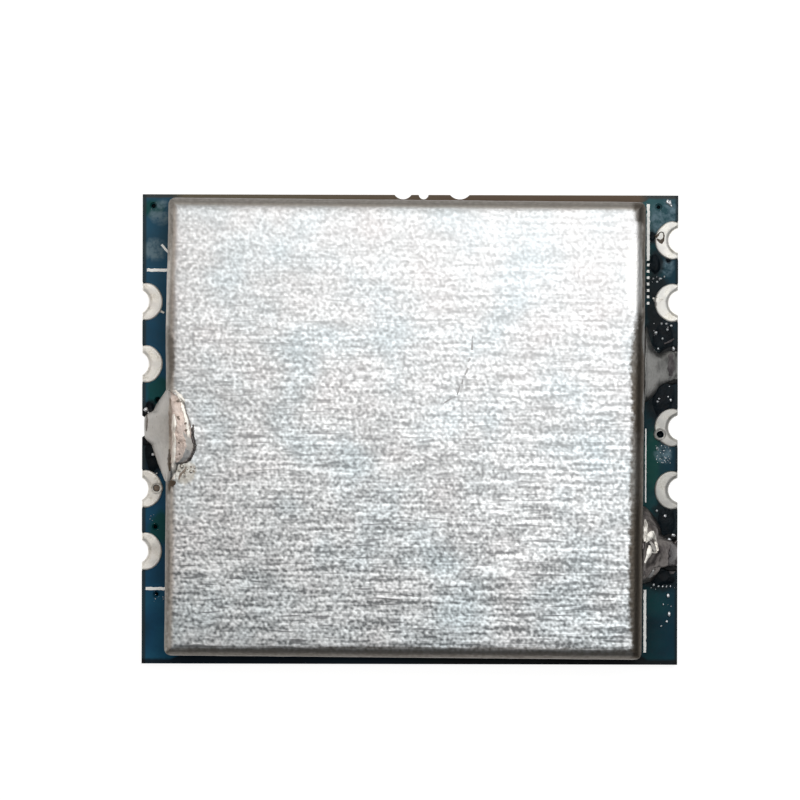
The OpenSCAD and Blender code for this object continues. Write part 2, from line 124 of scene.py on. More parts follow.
# Patches on the solder mask: middle and radii
GREEN_PATCHES = (
    ((-10.2, 1.5), (0.6, 0.7)), ((-10.1, -4.0), (0.5, 0.7)), ((9.85, -1.2), (0.35, 1.3)),
    ((-10.5, 9.0), (0.45, 0.35)),
)
HAZE_PATCHES = (
    ((-10.15, 8.8), (0.45, 0.5)), ((-10.4, 7.3), (0.5, 0.5)), ((10.4, 8.6), (0.7, 0.9)),
    ((10.45, 6.62), (0.3, 0.35)), ((10.3, -0.95), (0.36, 0.38)),
)

# Flux on the board: middle and radii
FLUX_PATCHES = (
    ((10.32, 3.75), (0.58, 0.78)), ((10.3, 1.2), (0.58, 0.95)), ((10.45, -3.7), (0.48, 0.9)),
    ((10.25, -6.05), (0.62, 0.42)), ((9.95, 6.75), (0.3, 0.5)), ((10.5, 6.93), (0.12, 0.12)),
    ((-10.45, -1.1), (0.42, 0.85)), ((-10.6, 0.85), (0.26, 0.34)), ((9.86, 7.86), (0.17, 0.24)),
)

# Places where thin flux only darkens the mask: middle and radii
FLUX_STAINS = (((9.95, 5.85), (0.45, 0.4)), ((9.95, 4.75), (0.3, 0.8)))

# Heights of the thin layers on the board, and shares of a patch that flux stands up in and soaks
INK_H = 0.02
FLUX_H = 0.05
FLUX_CORE = 0.75
FLUX_SPREAD = 1.25


def box_mm(node):
    """Lowest and highest corner of a CAD node, in millimetres."""
    low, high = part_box(node)
    return low / MM, high / MM


BOARD_LOW, BOARD_HIGH = box_mm("circuit_board")
CAN_LOW, CAN_HIGH = box_mm("shield_can")
BOARD_TOP = BOARD_HIGH.z
CAN_TOP = CAN_HIGH.z
CAN_H = CAN_TOP - BOARD_TOP


# Materials

class Shader:
    """A procedural material, whose textures are laid out in millimetres on the object."""

    def __init__(self, name, **constants):
        self.material = bpy.data.materials.new(name)
        self.material.use_nodes = True
        self.tree = self.material.node_tree
        self.surface = self.tree.nodes["Principled BSDF"]
        for socket, value in constants.items():
            self.surface.inputs[socket.replace("_", " ")].default_value = value
        texture = self.node("ShaderNodeTexCoord")
        self.coords = texture.outputs["Object"]
        self.tilt = texture.outputs["Normal"]

    def node(self, kind, inputs=None, **settings):
        made = self.tree.nodes.new(kind)
        for key, value in settings.items():
            setattr(made, key, value)
        for key, value in (inputs or {}).items():
            self.feed(made.inputs[key], value)
        return made

    def feed(self, socket, value):
        if isinstance(value, bpy.types.NodeSocket):
            self.tree.links.new(value, socket)
        else:
            socket.default_value = value

    def mapped(self, vector, scale, location=(0, 0, 0), turn=0.0):
        return self.node("ShaderNodeMapping", {
            "Vector": vector, "Location": location, "Rotation": (0, 0, turn), "Scale": scale,
        }).outputs[0]

    def place(self, stretch=1, turn=0.0, shift=(0, 0, 0)):
        """Object coordinates in millimetres: turned, stretched by one or three numbers, and shifted."""
        stretch = stretch if isinstance(stretch, tuple) else (stretch,) * 3
        return self.mapped(self.mapped(self.coords, (1 / MM,) * 3, turn=turn), stretch, shift)

    def split(self, vector):
        """The x, y and z of a vector."""
        return self.node("ShaderNodeSeparateXYZ", {0: vector}).outputs[:]

    def noise(self, stretch=1, detail=2.0, rough=0.5, turn=0.0, shift=(0, 0, 0)):
        place = self.place(stretch, turn, shift)
        return self.node("ShaderNodeTexNoise", {
            "Vector": place, "Scale": 1.0, "Detail": detail, "Roughness": rough,
        }).outputs[0]

    def math(self, operation, a, b):
        return self.node("ShaderNodeMath", {0: a, 1: b}, operation=operation).outputs[0]

    def times(self, a, b):
        return self.math("MULTIPLY", a, b)

    def weigh(self, *terms):
        """Sum of (weight, value) pairs, each value counted from its middle, about a half."""
        total = 0.5
        for weight, value in terms:
            total = self.math("ADD", self.times(self.math("SUBTRACT", value, 0.5), weight), total)
        return total

    def span(self, value, low, high, to_low=0.0, to_high=1.0):
        """A value between two limits, laid over another two."""
        return self.node("ShaderNodeMapRange", {
            "Value": value, "From Min": low, "From Max": high, "To Min": to_low, "To Max": to_high,
        }).outputs[0]

    def ramp(self, value, *stops):
        made = self.node("ShaderNodeValToRGB", {"Fac": value})
        elements = made.color_ramp.elements
        while len(elements) < len(stops):
            elements.new(0.5)
        for element, (place, colour) in zip(elements, stops):
            element.position = place
            element.color = (*colour, 1)
        return made.outputs["Color"]

    def mix(self, share, a, b, blend="MIX"):
        made = self.node("ShaderNodeMix", data_type="RGBA", blend_type=blend)
        self.feed(made.inputs["Factor"], share)
        for socket, value in ((made.inputs[6], a), (made.inputs[7], b)):
            self.feed(socket, value if isinstance(value, bpy.types.NodeSocket) else (*value, 1))
        return made.outputs[2]

    def spot(self, centre, radii, ragged, grain=2.0, core=0.7):
        """1 inside an ellipsoid round a place on the object, falling to 0 outside it."""
        offset = self.mapped(self.place(), [1 / r for r in radii], [-c / r for c, r in zip(centre, radii)])
        away = self.node("ShaderNodeVectorMath", {0: offset}, operation="LENGTH").outputs["Value"]
        rough = self.math("SUBTRACT", self.noise(grain, 3.0, 0.6, shift=(7, 3, 1)), 0.5)
        return self.span(self.math("ADD", away, self.times(rough, ragged)), core, 1.15, 1.0, 0.0)

    def patch(self, centre, radii, depth, ragged, grain=2.0):
        """A spot on the upper face of the board."""
        return self.spot((*centre, BOARD_TOP), (*radii, depth), ragged, grain)

    def bump(self, height, depth, strength):
        return self.node("ShaderNodeBump", {
            "Height": height, "Distance": depth * MM, "Strength": strength,
        }).outputs[0]

    def finish(self, colour, roughness, normal=None):
        self.feed(self.surface.inputs["Base Color"], colour)
        self.feed(self.surface.inputs["Roughness"], roughness)
        if normal is not None:
            self.feed(self.surface.inputs["Normal"], normal)
        return self.material


def tinplate():
    """Sheet whose speckle is drawn into streaks and which is stained where it was soldered, with painted
    light: evener and lighter towards the top right, a warm reflection and shade on its bends and walls, and a
    highlight on its right bend.
    """
    s = Shader("tinplate", Metallic=1.0)
    x, y, _ = s.split(s.place())
    lean, _, upright = s.split(s.tilt)
    speckle = s.noise((6.0, 6.4, 6.4), 0.6)
    dust = s.noise((7.8, 8.6, 8.6), 0.0, 0.5, 0.6, (5, 3, 0))
    streak = s.noise((0.42, 6.4, 6.4), 1.0, 0.5, CAN_SKEW, (3, 7, 0))
    cloud = s.noise((0.3, 0.5, 0.5), shift=(2, 5, 0))
    tint = s.noise(0.35, shift=(11, 4, 0))
    drawn = s.span(s.math("SUBTRACT", x, y), -16, 16, 0.5, 1.35)
    shade = s.weigh((1.08, speckle), (drawn, streak), (0.75, dust), (0.12, cloud))
    colour = s.ramp(shade, (0.12, (0.135, 0.145, 0.15)), (0.42, (0.42, 0.435, 0.438)),
                    (0.55, (0.55, 0.565, 0.57)), (0.86, (0.9, 0.92, 0.92)))
    line = s.span(s.noise((1.0, 8.0, 8.0), 0.0, 0.5, CAN_SKEW, (4, 9, 0)), 0.4, 0.28, 0.0, 0.85)
    worn = s.span(s.noise((0.3, 0.9, 0.9), shift=(8, 1, 0)), 0.42, 0.58, 0.25, 1.0)
    colour = s.mix(s.times(line, worn), colour, (0.13, 0.135, 0.14))
    # Evener and lighter towards the top and right: painted highlight, the grain fading there into a flat
    # bright tone
    across = s.math("ADD", y, s.times(x, 0.25))
    colour = s.mix(s.span(across, -8, 9.2, 0.1, 0.93), colour, (0.6, 0.605, 0.605))
    colour = s.mix(s.span(tint, 0.48, 0.7), colour, (0.91, 0.975, 1.0), "MULTIPLY")
    colour = s.mix(s.span(tint, 0.46, 0.3), colour, (1.0, 0.97, 0.965), "MULTIPLY")
    # Bends and walls turn a warm grey: painted warm reflection
    colour = s.mix(s.span(upright, 0.99, 0.9, 0.0, 0.75), colour, (0.56, 0.52, 0.467))
    # Bends and walls darken, less where they face left: painted shade
    dull = s.span(s.weigh((1.0, upright), (0.2, speckle)), 0.95, 0.5, 0.0, 0.8)
    dull = s.times(dull, s.span(lean, -0.75, -0.35, 0.45, 1.0))
    colour = s.mix(dull, colour, (0.17, 0.155, 0.14))
    marks = (
        # In turn: painted highlight on the right bend, painted shade on the bends and walls, wetted solder,
        # tarnish
        (PAINTED_HIGHLIGHTS, (0.8, 0.79, 0.77)),
        (BEND_SHADE, (0.08, 0.067, 0.053)),
        (WETTED, (0.2, 0.2, 0.19)),
        (TARNISH, (0.62, 0.57, 0.48)),
    )
    for spots, tone in marks:
        for centre, radii, share in spots:
            colour = s.mix(s.times(s.spot(centre, radii, 0.7, 4.0, 0.87), share), colour, tone)
    return s.finish(colour, s.span(shade, 0.2, 0.8, 0.52, 0.4), s.bump(shade, 0.01, 0.5))


def solder(name, low, middle, high, rough, lumpy, metallic=1.0):
    """Hand-made joint in three tones from dull to bright, with pores."""
    s = Shader(name, Metallic=metallic)
    blotch = s.noise(1.6, 3.0, 0.55)
    pores = s.noise(9, shift=(3, 1, 2))
    wrinkle = s.noise((5, 2.2, 5), 3.0, 0.6, shift=(1, 8, 0))
    shade = s.weigh((1.0, blotch), (0.35, pores))
    colour = s.ramp(shade, (0.3, low), (0.52, middle), (0.75, high))
    pits = s.span(pores, 0.22, 0.32, 0.75, 0.0)
    colour = s.mix(pits, colour, (0.16, 0.12, 0.09))
    relief = s.weigh((1.0, wrinkle), (0.3, pores))
    return s.finish(colour, s.span(blotch, 0.3, 0.7, rough - 0.1, rough + 0.1), s.bump(relief, 0.05, lumpy))


def pad_tin(name, low, middle, high):
    """Hot-tinned copper: nearly smooth, duller in patches, and darker towards the lower right."""
    s = Shader(name, Metallic=0.75)
    x, y, _ = s.split(s.place())
    patch = s.noise(2.5, 3.0, 0.55, shift=(5, 2, 0))
    shade = s.weigh((1.0, patch), (0.5, s.noise(14)))
    colour = s.ramp(shade, (0.25, low), (0.45, middle), (0.7, high))
    # Darker towards the lower right of the board
    worn = s.times(s.span(x, -1, 1), s.span(y, 3, 1.5, 0.2, 0.46))
    colour = s.mix(worn, colour, (0, 0, 0))
    return s.finish(colour, s.span(patch, 0.3, 0.7, 0.45, 0.6), s.bump(shade, 0.02, 0.35))


def mask():
    """Solder mask: bluer on the left with a painted sheen towards its top, hazy where it was washed, bare or
    dark along its edges, with painted shade at the ends of its top edge and a painted shadow of the can along
    its bottom edge.
    """
    s = Shader("mask", Specular_IOR_Level=0.08, IOR=1.5)
    x, y, _ = s.split(s.place())
    fine = s.noise(6, 3.0, 0.6)
    shade = s.weigh((1.0, s.noise((0.5, 0.6, 0.4), 2.0, 0.4, shift=(3, 6, 0))), (0.15, fine))
    blue = s.ramp(shade, (0.35, (0.01, 0.058, 0.11)), (0.5, (0.012, 0.082, 0.165)),
                  (0.65, (0.016, 0.11, 0.195)))
    green = s.ramp(shade, (0.35, (0.002, 0.022, 0.032)), (0.5, (0.003, 0.04, 0.05)),
                   (0.65, (0.005, 0.058, 0.062)))
    # Lighter towards the top on the left: painted sheen
    blue = s.mix(s.span(y, 2, 8, 0.0, 0.5), blue, (0.035, 0.115, 0.17))
    green = s.mix(s.span(y, 7.9, 9.0, 0.0, 0.65), green, (0.055, 0.16, 0.175))
    green = s.mix(s.span(x, 9.8, 10.7, 0.0, 0.5), green, (0.004, 0.03, 0.065))
    colour = s.mix(s.span(x, -1, 1), blue, green)
    for patch in GREEN_PATCHES:
        colour = s.mix(s.times(s.patch(*patch, 1, 0.8), 0.8), colour, (0.004, 0.075, 0.06))
    washed = s.weigh((1.0, s.noise(1.8, 3.0, 0.65, shift=(1, 4, 0))), (0.4, fine))
    haze = s.span(washed, 0.36, 0.62)
    for patch in HAZE_PATCHES:
        colour = s.mix(s.times(s.patch(*patch, 1, 0.8), haze), colour, (0.16, 0.25, 0.3))
    for centre, radii in FLUX_PATCHES + FLUX_STAINS:
        soaked = s.patch(centre, [r * FLUX_SPREAD for r in radii], 0.6, 0.9, 3.0)
        colour = s.mix(s.times(soaked, 0.85), colour, (0.004, 0.007, 0.009))
    along = s.math("ADD", y, s.times(fine, 0.08))
    beside = s.times(s.span(x, -9.7, -9.2), s.span(x, 9.7, 9.3))
    margin = s.times(beside, 0.24)
    brown = s.mix(s.span(x, -6, 2), (0.16, 0.135, 0.093), (0.14, 0.1, 0.07))
    # Bare laminate along the top edge, dark grey beyond the can's sides: painted shade at the board's top
    # corners
    bare = s.mix(beside, (0.05, 0.06, 0.06), brown)
    bands = (
        (s.math("ADD", along, margin), BOARD_HIGH.y, -0.14, -0.06, 1.0, bare),
        (x, BOARD_LOW.x, 0.19, 0.11, 0.85, (0.024, 0.036, 0.038)),
        (x, BOARD_HIGH.x, -0.15, -0.07, 0.75, (0.006, 0.012, 0.016)),
        # Painted shadow of the can: the strip below it is near black
        (s.math("SUBTRACT", along, margin), BOARD_LOW.y, 0.3, 0.18, 0.85, (0.006, 0.005, 0.0045)),
    )
    for place, edge, start, full, share, tone in bands:
        colour = s.mix(s.span(place, edge + start, edge + full, 0.0, share), colour, tone)
    return s.finish(colour, s.span(fine, 0.3, 0.7, 0.3, 0.5), s.bump(fine, 0.006, 0.4))


def laminate():
    """Routed edge of the board: pressed layers of glass cloth, with fibres in the cut."""
    s = Shader("laminate", Specular_IOR_Level=0.3)
    layers = s.noise((0.6, 0.6, 9))
    fibres = s.noise((14, 14, 22), 3.0, 0.6)
    shade = s.weigh((1.0, layers), (0.7, fibres))
    colour = s.ramp(shade, (0.3, (0.05, 0.042, 0.026)), (0.55, (0.13, 0.11, 0.062)),
                    (0.75, (0.22, 0.19, 0.115)))
    return s.finish(colour, s.span(fibres, 0.3, 0.7, 0.5, 0.8), s.bump(shade, 0.03, 0.6))


def ink():
    """White legend ink, thin enough for the mask to show through in specks, with a faint glow that is painted
    light.
    """
    # The emission is a painted glow that keeps the ink bright beside the can
    s = Shader("ink", Specular_IOR_Level=0.3, Emission_Color=(1, 1, 0.97, 1), Emission_Strength=0.18)
    worn = s.noise(7, 3.0, 0.65)
    colour = s.ramp(worn, (0.28, (0.5, 0.56, 0.57)), (0.4, (0.92, 0.93, 0.9)),
                    (0.7, (0.98, 0.98, 0.94)))
    return s.finish(colour, s.span(worn, 0.3, 0.7, 0.6, 0.75), s.bump(worn, 0.01, 0.5))


def flux(name, low, middle, high, gloss):
    """Dried flux: wrinkled, and dark, grey or burnt brown."""
    s = Shader(name, Specular_IOR_Level=gloss, IOR=1.5)
    flow = s.noise(2.4, 3.0, 0.6)
    fine = s.noise(12, 3.0, 0.6, shift=(2, 2, 5))
    colour = s.ramp(s.weigh((1.0, flow), (0.4, fine)), (0.35, low), (0.55, middle), (0.75, high))
    relief = s.weigh((1.0, fine), (0.6, flow))
    return s.finish(colour, s.span(flow, 0.3, 0.7, 0.25, 0.45), s.bump(relief, 0.03, 0.6))


def moulded(name, dark, light, rough_low, rough_high, grain, metallic=0.0):
    """Plain stuff with a fine grain: moulded, fired, plated or scraped."""
    s = Shader(name, Metallic=metallic)
    fine = s.noise(grain, 3.0, 0.6)
    broad = s.noise(1.3)
    shade = s.weigh((0.8, fine), (0.6, broad))
    colour = s.ramp(shade, (0.3, dark), (0.7, light))
    return s.finish(colour, s.span(fine, 0.3, 0.7, rough_low, rough_high), s.bump(fine, 0.015, 0.4))


TINPLATE = tinplate()
FAN_SOLDER = solder(
    "fan_solder", (0.41, 0.395, 0.37), (0.48, 0.46, 0.43), (0.55, 0.53, 0.495), 0.55, 0.12, 0.5)
LAP_SOLDER = solder("lap_solder", (0.42, 0.34, 0.295), (0.56, 0.475, 0.425), (0.68, 0.6, 0.55), 0.5, 0.6)
# Mid grey solder: painted shade on the lap's facets and a painted highlight on the dark mound
PAINTED_MIDTONE_SOLDER = solder("painted_midtone_solder", (0.2, 0.2, 0.2), (0.3, 0.3, 0.295), (0.38, 0.375, 0.37), 0.4, 0.25)
FILLET_SOLDER = solder(
    "fillet_solder", (0.15, 0.15, 0.145), (0.235, 0.235, 0.225), (0.3, 0.3, 0.29), 0.42, 0.25)
# Dull solder of the lower right joint, also laid on as painted shadow
DULL_SOLDER_AND_SHADE = solder("dull_solder_and_painted_shade", (0.07, 0.06, 0.06), (0.15, 0.135, 0.127), (0.24, 0.217, 0.205), 0.42, 0.4)
# A lit copy of the solder, laid on as painted highlights
HIGHLIGHT_SOLDER = solder("painted_highlight_solder", (0.62, 0.58, 0.52), (0.8, 0.77, 0.71), (0.92, 0.9, 0.85), 0.5, 0.3)
BEAD_SOLDER = solder("bead_solder", (0.68, 0.7, 0.72), (0.86, 0.88, 0.9), (0.97, 0.98, 1.0), 0.45, 0.2)
PAD_TIN = pad_tin("pad_tin", (0.7, 0.67, 0.59), (0.93, 0.91, 0.85), (0.98, 0.97, 0.93))
STAINED_TIN = pad_tin("stained_tin", (0.003, 0.004, 0.005), (0.007, 0.009, 0.011), (0.025, 0.025, 0.025))
MASK = mask()
LAMINATE = laminate()
INK = ink()
FLUX = flux("flux", (0.002, 0.004, 0.006), (0.004, 0.009, 0.013), (0.012, 0.018, 0.022), 0.07)
GREY_FLUX = flux("grey_flux", (0.05, 0.045, 0.047), (0.1, 0.09, 0.092), (0.16, 0.15, 0.15), 0.2)
BROWN_FLUX = flux("brown_flux", (0.22, 0.175, 0.14), (0.33, 0.275, 0.225), (0.45, 0.39, 0.33), 0.2)
BURNT_FLUX = flux("burnt_flux", (0.05, 0.036, 0.024), (0.1, 0.074, 0.05), (0.18, 0.14, 0.1), 0.2)
CHIP_PLASTIC = moulded("chip_plastic", (0.008, 0.008, 0.009), (0.03, 0.03, 0.032), 0.45, 0.65, 16)
TERMINAL = moulded("terminal", (0.62, 0.6, 0.55), (0.86, 0.84, 0.79), 0.3, 0.5, 12, 1.0)
CRYSTAL_LID = moulded("crystal_lid", (0.55, 0.53, 0.48), (0.8, 0.78, 0.72), 0.25, 0.4, 10, 1.0)
CAPACITOR = moulded("capacitor_ceramic", (0.22, 0.13, 0.07), (0.36, 0.24, 0.14), 0.4, 0.6, 14)
RESISTOR_FILM = moulded("resistor_film", (0.006, 0.006, 0.007), (0.02, 0.02, 0.022), 0.3, 0.5, 12)
RESISTOR_BODY = moulded("resistor_body", (0.6, 0.6, 0.58), (0.82, 0.82, 0.8), 0.5, 0.7, 14)
FERRITE = moulded("ferrite", (0.02, 0.02, 0.022), (0.06, 0.06, 0.062), 0.5, 0.7, 18)
WINDING = moulded("winding", (0.34, 0.12, 0.04), (0.6, 0.26, 0.1), 0.25, 0.4, 9, 1.0)
FILTER_BODY = moulded("filter_ceramic", (0.4, 0.42, 0.43), (0.6, 0.62, 0.63), 0.4, 0.6, 14)
SCRATCH = moulded("scratch", (0.34, 0.34, 0.34), (0.6, 0.6, 0.6), 0.5, 0.7, 6, 1.0)


# Making pieces

# Angles in degrees past which an edge stays sharp: as a rule, on ridges and on balls
SHARP = 40
RIDGE_SHARP = 60
BALL_SHARP = 80


def new_object(name, data):
    """An object that is linked to the scene."""
    obj = bpy.data.objects.new(name, data)
    bpy.context.scene.collection.objects.link(obj)
    return obj


def new_piece(name, mesh, material, slot, *replaced):
    """Shows a mesh that is in metres as a piece of the module."""
    obj = new_object(name, mesh)
    mesh.materials.clear()
    mesh.materials.append(material)
    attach(obj, "root")
    if replaced:
        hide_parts(*replaced)
    return obj


@contextmanager
def editing(mesh):
    """Opens a mesh for edits, and writes them back to it."""
    work = bmesh.new()
    work.from_mesh(mesh)
    yield work
    work.to_mesh(mesh)
    work.free()


def new_mesh(name, points, faces, crease=SHARP):
    """Mesh from points in millimetres, with its faces turned outwards."""
    mesh = bpy.data.meshes.new(name)
    mesh.from_pydata([Vector(p) * MM for p in points], [], faces)
    with editing(mesh) as work:
        bmesh.ops.recalc_face_normals(work, faces=work.faces)
    mesh.shade_smooth()
    mesh.set_sharp_from_angle(angle=math.radians(crease))
    return mesh


def show(name, shape, material, slot, *replaced, crease=SHARP):
    """Shows a (points, faces) shape that is in millimetres as a piece of the module."""
    return new_piece(name, new_mesh(name, *shape, crease), material, slot, *replaced)


def loft(rings, closed_ends=True):
    """Points and faces of a skin over rings that have the same number of points."""
    count = len(rings[0])
    points = [p for ring in rings for p in ring]
    faces = []
    for i in range(len(rings) - 1):
        for j in range(count):
            k = (j + 1) % count
            faces.append((i * count + j, i * count + k, (i + 1) * count + k, (i + 1) * count + j))
    if closed_ends:
        last = (len(rings) - 1) * count
        faces.append(tuple(reversed(range(count))))
        faces.append(tuple(range(last, last + count)))
    return points, faces


def hoop(rings):
    """Points and faces of a closed skin over rings, the last of which meets the first."""
    points, faces = loft(rings + rings[:1], False)
    last = len(rings) * len(rings[0])
    return points[:last], [tuple(i % last for i in face) for face in faces]


def append(shape, points, faces):
    """Adds a shell to a (points, faces) pair of lists."""
    start = len(shape[0])
    shape[0].extend(points)
    shape[1].extend(tuple(start + i for i in face) for face in faces)


def add_ball(shape, centre, r, stretch, lumps=0.0):
    """Adds a stretched and lumpy ball to a (points, faces) pair of lists."""
    ball = bmesh.new()
    bmesh.ops.create_icosphere(ball, subdivisions=2, radius=r)
    points = [centre + v.co * stretch * (1 + lumps * noise.noise(v.co * 14 + centre)) for v in ball.verts]
    append(shape, points, [tuple(v.index for v in f.verts) for f in ball.faces])
    ball.free()


def polar(angle, r, z):
    return Vector((r * math.cos(angle), r * math.sin(angle), z))


def circle(centre, r, z, count, turn=0.0):
    """Points round an upright axis, turned by a share of a step."""
    return [centre + polar(2 * math.pi * (i + turn) / count, r, z) for i in range(count)]


# Gap that thin things on the board keep from its left and right edges
EDGE_MARGIN = 0.02


def within(x, margin=EDGE_MARGIN):
    """A place across the board, kept off its left and right edges."""
    return min(max(x, BOARD_LOW.x + margin), BOARD_HIGH.x - margin)


# The can

def can_size():
    """Width and length of the can before it was turned, from its box in the frame."""
    c, s = math.cos(CAN_SKEW), math.sin(CAN_SKEW)
    half_x = (CAN_HIGH.x - CAN_LOW.x) / 2 - CORNER_R
    half_y = (CAN_HIGH.y - CAN_LOW.y) / 2 - CORNER_R
    pairs = ((half_x, half_y), (half_y, half_x))
    return [2 * ((along * c - across * s) / (c * c - s * s) + CORNER_R) for along, across in pairs]


CAN_W, CAN_L = can_size()
CAN_MIDDLE = Vector(((CAN_LOW.x + CAN_HIGH.x) / 2, (CAN_LOW.y + CAN_HIGH.y) / 2, BOARD_TOP))
SIDE_STEPS = 44
CORNER_STEPS = 10
BEND_STEPS = 12
FACE_RINGS = 16
TOP_CORE = 0.3

# Waves of the sheet, and bulge of its left wall above the joint
SHEET_WAVE = 0.012
SHEET_RIPPLE = 0.004
BULGE = 0.07
BULGE_Y = 4.0
BULGE_L = 2.8


def rounded_ring(inset, z, corner):
    """Rectangle round the can's middle, rounded at the wall and mitred on the bends."""
    r = max(corner, MITRE_R)
    half_w, half_l = CAN_W / 2 - inset - r, CAN_L / 2 - inset - r
    arcs = []
    for quarter, (x, y) in enumerate(((1, 1), (-1, 1), (-1, -1), (1, -1))):
        centre = Vector((x * half_w, y * half_l, z))
        angles = [math.pi / 2 * (quarter + i / CORNER_STEPS) for i in range(CORNER_STEPS + 1)]
        arcs.append([centre + polar(angle, r, 0) for angle in angles])
    ring = []
    for arc, following in zip(arcs, arcs[1:] + arcs[:1]):
        ring.extend(arc)
        ring.extend(arc[-1].lerp(following[0], i / SIDE_STEPS) for i in range(1, SIDE_STEPS))
    return ring


def mitred(corner, away):
    """Radius that an upright corner still has where the bend has turned in from the wall."""
    return corner - away / (1 - math.cos(math.pi / 4))


def can_side(inset, height, corner, bend, uneven):
    """Rings of one side of the sheet, from the foot of the wall to the middle of the top."""
    rings = [rounded_ring(inset, z, corner) for z in (0, (height - bend) / 2)]
    for i in range(BEND_STEPS + 1):
        angle = math.pi / 2 * i / BEND_STEPS
        away = bend * (1 - math.cos(angle))
        z = height - bend + bend * math.sin(angle)
        rings.append(rounded_ring(inset + away, z, mitred(corner, away)))
    deepest = CAN_L / 2 - inset - TOP_CORE
    for i in range(1, FACE_RINGS + 1):
        rings.append(rounded_ring(inset + bend + (deepest - bend) * i / FACE_RINGS, height, MITRE_R))
    for ring in rings[2:]:
        for p in ring:
            p += uneven_sheet(p, height) * uneven
    return rings


def uneven_sheet(p, height):
    """How far drawing and soldering moved the sheet at a place on it."""
    wave = noise.noise(Vector((p.x * 0.45, p.y * 0.45, 3)))
    ripple = noise.noise(Vector((p.x * 1.4, p.y * 1.4, 9)))
    share = min(1.0, max(0.0, p.z / height))
    bulge = BULGE * math.exp(-((p.y - BULGE_Y) / BULGE_L) ** 2) if p.x < BEND_R - CAN_W / 2 else 0
    side_wave = noise.noise(p * 1.3)
    return Vector((SHEET_WAVE * ripple - bulge, SHEET_WAVE * side_wave,
                   SHEET_WAVE * wave + SHEET_RIPPLE * ripple)) * share


def make_can():
    outer = can_side(0, CAN_H, CORNER_R, BEND_R, 1)
    inner = can_side(SHEET_T, CAN_H - SHEET_T, CORNER_R - SHEET_T, BEND_R - SHEET_T, 0)
    points, faces = loft(outer[::-1] + inner)
    turn = Matrix.Rotation(-CAN_SKEW, 3, "Z")
    points = [turn @ p + CAN_MIDDLE for p in points]
    return show("can_shell", (points, faces), TINPLATE, "tinplate", "shield_can")


# Solder joints

VOXEL = 0.035
WELD = 0.001
SWELL = 0.012
CREASE_X = -9.66
HOLE_GAP = 0.11
LAP_HINGE_Y = 0.3
LAP_DRAW_IN = 0.88
LAP_DEPTH = 0.1

# Facets at the right side of the lap, whose grey and darker grey tones are painted shade of their slopes:
# depth, width of the grey margin, slant of the tones' borders and where these lie
FACET_DEPTH = 0.3
GREY_W = 0.38
SLANT = -0.8
SLANT_X = -8.9
GREY_FROM = 0.3
DARKER_SHADE_FROM = 0.88
FACET_UNEVEN = 0.06

# Outline of the part of the left joint that lies on the can, (y, x) from its upper end
LAP_OUTLINE = (
    (1.6, -9.6), (1.4, -9.32), (1.2, -9.12), (0.8, -9.04), (0.4, -8.9), (0.0, -8.8), (-0.4, -8.68),
    (-0.7, -8.64), (-1.0, -8.75), (-1.22, -8.86), (-1.34, -9.0), (-1.42, -9.35), (-2.03, -9.46),
)


def between(points, place):
    """Value at a place along (place, value) points that fall from one to the next."""
    for (high, start), (low, end) in zip(points, points[1:]):
        if high >= place >= low:
            return start + (end - start) * (high - place) / (high - low)
    return points[0][1] if place > points[0][0] else points[-1][1]


def trim_lap(points):
    """Draws in the upper end of the left joint, its lap to the outline and its foot from the half-hole."""
    reach = {}
    for p in points:
        p.x = max(p.x, BOARD_LOW.x + HOLE_GAP)
        if p.y > LAP_HINGE_Y:
            p.y = LAP_HINGE_Y + (p.y - LAP_HINGE_Y) * LAP_DRAW_IN
        if p.z > CAN_TOP:
            row = round(p.y / VOXEL)
            reach[row] = max(reach.get(row, CREASE_X + VOXEL), p.x)
    for p in points:
        row = round(p.y / VOXEL)
        rows = [reach[i] for i in range(row - 2, row + 3) if i in reach]
        if rows and p.x > CREASE_X and p.z > CAN_TOP - LAP_DEPTH:
            share = (between(LAP_OUTLINE, p.y) - CREASE_X) / (sum(rows) / len(rows) - CREASE_X)
            p.x = CREASE_X + (p.x - CREASE_X) * min(share, 1)


# Outline of the upper right joint, (x, y) from the board's edge to the can
FILLET_UPPER = (
    (10.9, 3.3), (10.5, 3.26), (10.34, 3.2), (10.18, 3.13), (10.01, 3.2), (9.85, 3.45), (9.77, 3.75),
    (9.7, 4.15), (9.6, 4.4), (9.5, 4.6),
)
FILLET_LOWER = (
    (10.9, 2.0), (10.5, 1.95), (10.34, 1.86), (10.14, 1.8), (10.01, 1.52), (9.85, 1.31), (9.69, 1.19),
    (9.57, 1.0), (9.5, 0.7),
)


def trim_fillet(points):
    """Spreads the upper right joint to its outline."""
    rows = {}
    for p in points:
        rows.setdefault(round(p.x / VOXEL), []).append(p.y)
    for p in points:
        row = round(p.x / VOXEL)
        near = [rows[i] for i in range(row - 1, row + 2) if i in rows]
        low = sum(min(ys) for ys in near) / len(near)
        high = sum(max(ys) for ys in near) / len(near)
        share = (p.y - low) / (high - low)
        lower, upper = between(FILLET_LOWER, p.x), between(FILLET_UPPER, p.x)
        p.y = lower + (upper - lower) * min(max(share, 0), 1)


def keep_largest_shell(mesh):
    """Drops the loose crumbs that a remesh leaves beside a joint."""
    with editing(mesh) as work:
        left = set(work.verts)
        shells = []
        while left:
            queue = [left.pop()]
            shell = set(queue)
            while queue:
                vert = queue.pop()
                reached = {edge.other_vert(vert) for edge in vert.link_edges} & left
                left -= reached
                shell |= reached
                queue.extend(reached)
            shells.append(shell)
        loose = set(work.verts) - max(shells, key=len)
        bmesh.ops.delete(work, geom=[vert for vert in work.verts if vert in loose], context="VERTS")


def settle(mesh, rounds):
    """Smooths what a trim has stretched."""
    with editing(mesh) as work:
        for _ in range(rounds):
            bmesh.ops.smooth_vert(work, verts=work.verts, factor=0.5, use_axis_x=True, use_axis_y=True,
                                  use_axis_z=True)


